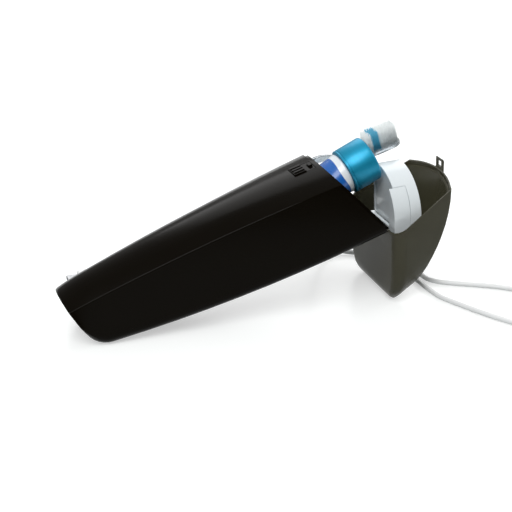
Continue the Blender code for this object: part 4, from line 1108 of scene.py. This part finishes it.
@dataclass
class Brush:
    """The clear brush and its tufts of nylon filaments."""

    shop: Workshop
    finishes: dict[str, Material]
    case: Matrix
    tuft_pitch_mm: float = 1.9
    columns: int = 5
    tuft_span_mm: float = 1.25
    filaments: int = 5
    filament_mm: float = 0.085
    sunk_mm: float = 2.0
    tip_mm: float = 0.06
    nudge_mm: float = 0.1
    lean: float = 0.045
    crown: float = 0.055
    head_length_mm: float = 23.0
    round_mm: float = 5.0
    narrowest: float = 0.35

    def tree(self) -> Tree:
        """Return a geometry group that stands filaments in tufts on a grid."""
        tree = bpy.data.node_groups.new("bristle tufts", "GeometryNodeTree")
        sizes = ("Length", "Width", "Height", "Pitch", "Tuft", "Filament")
        for name in sizes:
            tree.interface.new_socket(name, in_out="INPUT", socket_type="NodeSocketFloat")
        for name in ("Rows", "Columns", "Filaments", "Seed"):
            tree.interface.new_socket(name, in_out="INPUT", socket_type="NodeSocketInt")
        tree.interface.new_socket("Finish", in_out="INPUT", socket_type="NodeSocketMaterial")
        tree.interface.new_socket("Geometry", in_out="OUTPUT", socket_type="NodeSocketGeometry")
        given = add_node(tree, "NodeGroupInput").outputs
        nudge_m = self.nudge_mm * MILLIMETRE
        field_of_tufts = add_node(tree, "GeometryNodeMeshGrid", {
            "Size X": given["Length"], "Size Y": given["Width"],
            "Vertices X": given["Rows"], "Vertices Y": given["Columns"],
        })
        one_tuft = add_node(tree, "GeometryNodeMeshGrid", {
            "Size X": given["Tuft"], "Size Y": given["Tuft"],
            "Vertices X": given["Filaments"], "Vertices Y": given["Filaments"],
        })
        tufts = add_node(tree, "GeometryNodeInstanceOnPoints", {
            "Points": field_of_tufts.outputs["Mesh"], "Instance": one_tuft.outputs["Mesh"],
        })
        roots = add_node(tree, "GeometryNodeRealizeInstances", {"Geometry": tufts.outputs[0]})
        nudge = add_node(tree, "FunctionNodeRandomValue", {
            0: (-nudge_m, -nudge_m, 0.0), 1: (nudge_m, nudge_m, 0.0), "Seed": given["Seed"],
        }, data_type="FLOAT_VECTOR")
        placed = add_node(tree, "GeometryNodeSetPosition", {
            "Geometry": roots.outputs[0], "Offset": nudge.outputs[0],
        })
        strand = add_node(tree, "GeometryNodeMeshCone", {
            "Vertices": 6, "Radius Top": self.tip_mm * MILLIMETRE, "Radius Bottom": given["Filament"],
            "Depth": given["Height"],
        })
        spot = add_node(tree, "GeometryNodeInputPosition")
        parts = add_node(tree, "ShaderNodeSeparateXYZ", {"Vector": spot.outputs[0]})
        turn = add_node(tree, "ShaderNodeMath", {
            0: parts.outputs["X"], 1: given["Pitch"],
        }, operation="DIVIDE")
        phase = add_node(tree, "ShaderNodeMath", {
            0: turn.outputs[0], 1: 2 * math.pi,
        }, operation="MULTIPLY")
        crest = add_node(tree, "ShaderNodeMath", {0: phase.outputs[0]}, operation="COSINE")
        crown = add_node(tree, "ShaderNodeMath", {
            0: crest.outputs[0], 1: self.crown, 2: 1 - self.crown,
        }, operation="MULTIPLY_ADD")
        size = add_node(tree, "ShaderNodeCombineXYZ", {"X": 1.0, "Y": 1.0, "Z": crown.outputs[0]})
        lean = add_node(tree, "FunctionNodeRandomValue", {
            0: (-self.lean, -self.lean, 0.0), 1: (self.lean, self.lean, 3.0), "Seed": given["Seed"],
        }, data_type="FLOAT_VECTOR")
        tilt = add_node(tree, "FunctionNodeEulerToRotation", {0: lean.outputs[0]})
        brush = add_node(tree, "GeometryNodeInstanceOnPoints", {
            "Points": placed.outputs[0], "Instance": strand.outputs["Mesh"],
            "Rotation": tilt.outputs[0], "Scale": size.outputs[0],
        })
        whole = add_node(tree, "GeometryNodeRealizeInstances", {"Geometry": brush.outputs[0]})
        dressed = add_node(tree, "GeometryNodeSetMaterial", {
            "Geometry": whole.outputs[0], "Material": given["Finish"],
        })
        add_node(tree, "NodeGroupOutput", {"Geometry": dressed.outputs[0]})
        return tree

    def extent(self, node: str) -> tuple[Vector, Vector]:
        """Return a node's lowest and highest corner in the case's own axes."""
        back = self.case.inverted()
        points = [back @ vertex.co for vertex in self.shop.nodes[node].data.vertices]
        low = Vector([min(p[axis] for p in points) for axis in range(3)])
        high = Vector([max(p[axis] for p in points) for axis in range(3)])
        return low, high

    def tufts(self, node: str, finish: str, tip_x: float, tree: Tree, seed: int) -> None:
        """Grow one colour of tufts in the space of its node.

        Args:
            node: The bristle node.
            finish: Short name of the filaments' finish.
            tip_x: The brush tip's place along the case, in metres.
            tree: The geometry group.
            seed: Seed of the filaments' spread.
        """
        low, high = self.extent(node)
        tuft = self.tuft_span_mm * MILLIMETRE
        span = high - low
        rows = max(2, math.ceil(span.x / (self.tuft_pitch_mm * MILLIMETRE)))
        length = span.x - tuft
        middle = (low + high) / 2
        sunk = self.sunk_mm * MILLIMETRE
        local = Matrix.Translation((middle.x, middle.y, low.z - sunk))
        piece = self.shop.grown(node + "_filaments", tree, {
            "Length": length, "Width": span.y - tuft, "Height": span.z + sunk,
            "Pitch": length / (rows - 1), "Tuft": tuft, "Filament": self.filament_mm * MILLIMETRE,
            "Rows": rows, "Columns": self.columns, "Filaments": self.filaments, "Seed": seed,
            "Finish": self.finishes[finish],
        }, local)
        head = self.head_length_mm * MILLIMETRE
        bend = self.round_mm * MILLIMETRE
        for vertex in piece.data.vertices:
            behind = tip_x - vertex.co.x
            end = min(behind, head - behind)
            share = math.sqrt(max(0.0, 1 - (1 - clamp(end / bend)) ** 2))
            vertex.co.y = middle.y + (vertex.co.y - middle.y) * max(self.narrowest, share)
            vertex.co.z = min(vertex.co.z, high.z)
        piece.data.transform(self.case)
        piece.data.shade_smooth()
        self.shop.register(piece, Body.CARRIER, node)

    def build(self) -> None:
        """Dress the brush and grow its tufts."""
        self.shop.skin("brush_handle", Body.CARRIER, self.finishes["clear"], Edge.LOFTED, 40.0)
        tree = self.tree()
        tip_x = self.extent("brush_handle")[1].x
        self.tufts("bristles_tip", "bristle_white", tip_x, tree, 3)
        self.tufts("bristles_blue", "bristle_blue", tip_x, tree, 5)
        self.tufts("bristles_heel", "bristle_white", tip_x, tree, 7)


def clear_scene() -> None:
    """Remove what a new Blender scene starts with."""
    for old in list(bpy.data.objects):
        bpy.data.objects.remove(old)


def main() -> None:
    """Load the frame, build each sub-assembly in order and report the pieces."""
    logging.basicConfig(level=logging.INFO, format="%(name)s: %(message)s")
    clear_scene()
    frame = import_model()
    joints = {joint["name"]: joint for joint in frame["joints"]}
    axes = CaseFrame(joints)
    case = axes.matrix()
    tube_axis = axes.cap_matrix()
    slots = {part["node"]: part["material_slot"] for part in frame["record"]["subparts"]}
    shop = Workshop(frame["nodes"], slots)
    Studio().build()
    finishes = Finishes(tube_axis).stock()
    Lead(shop, finishes, foot_mm=case.translation.x / MILLIMETRE).build()
    Shells(shop, finishes).build()
    UltravioletPod(shop, finishes).build()
    PasteTube(shop, finishes, tube_axis).build()
    Brush(shop, finishes, case).build()


if __name__ == "__main__":
    main()
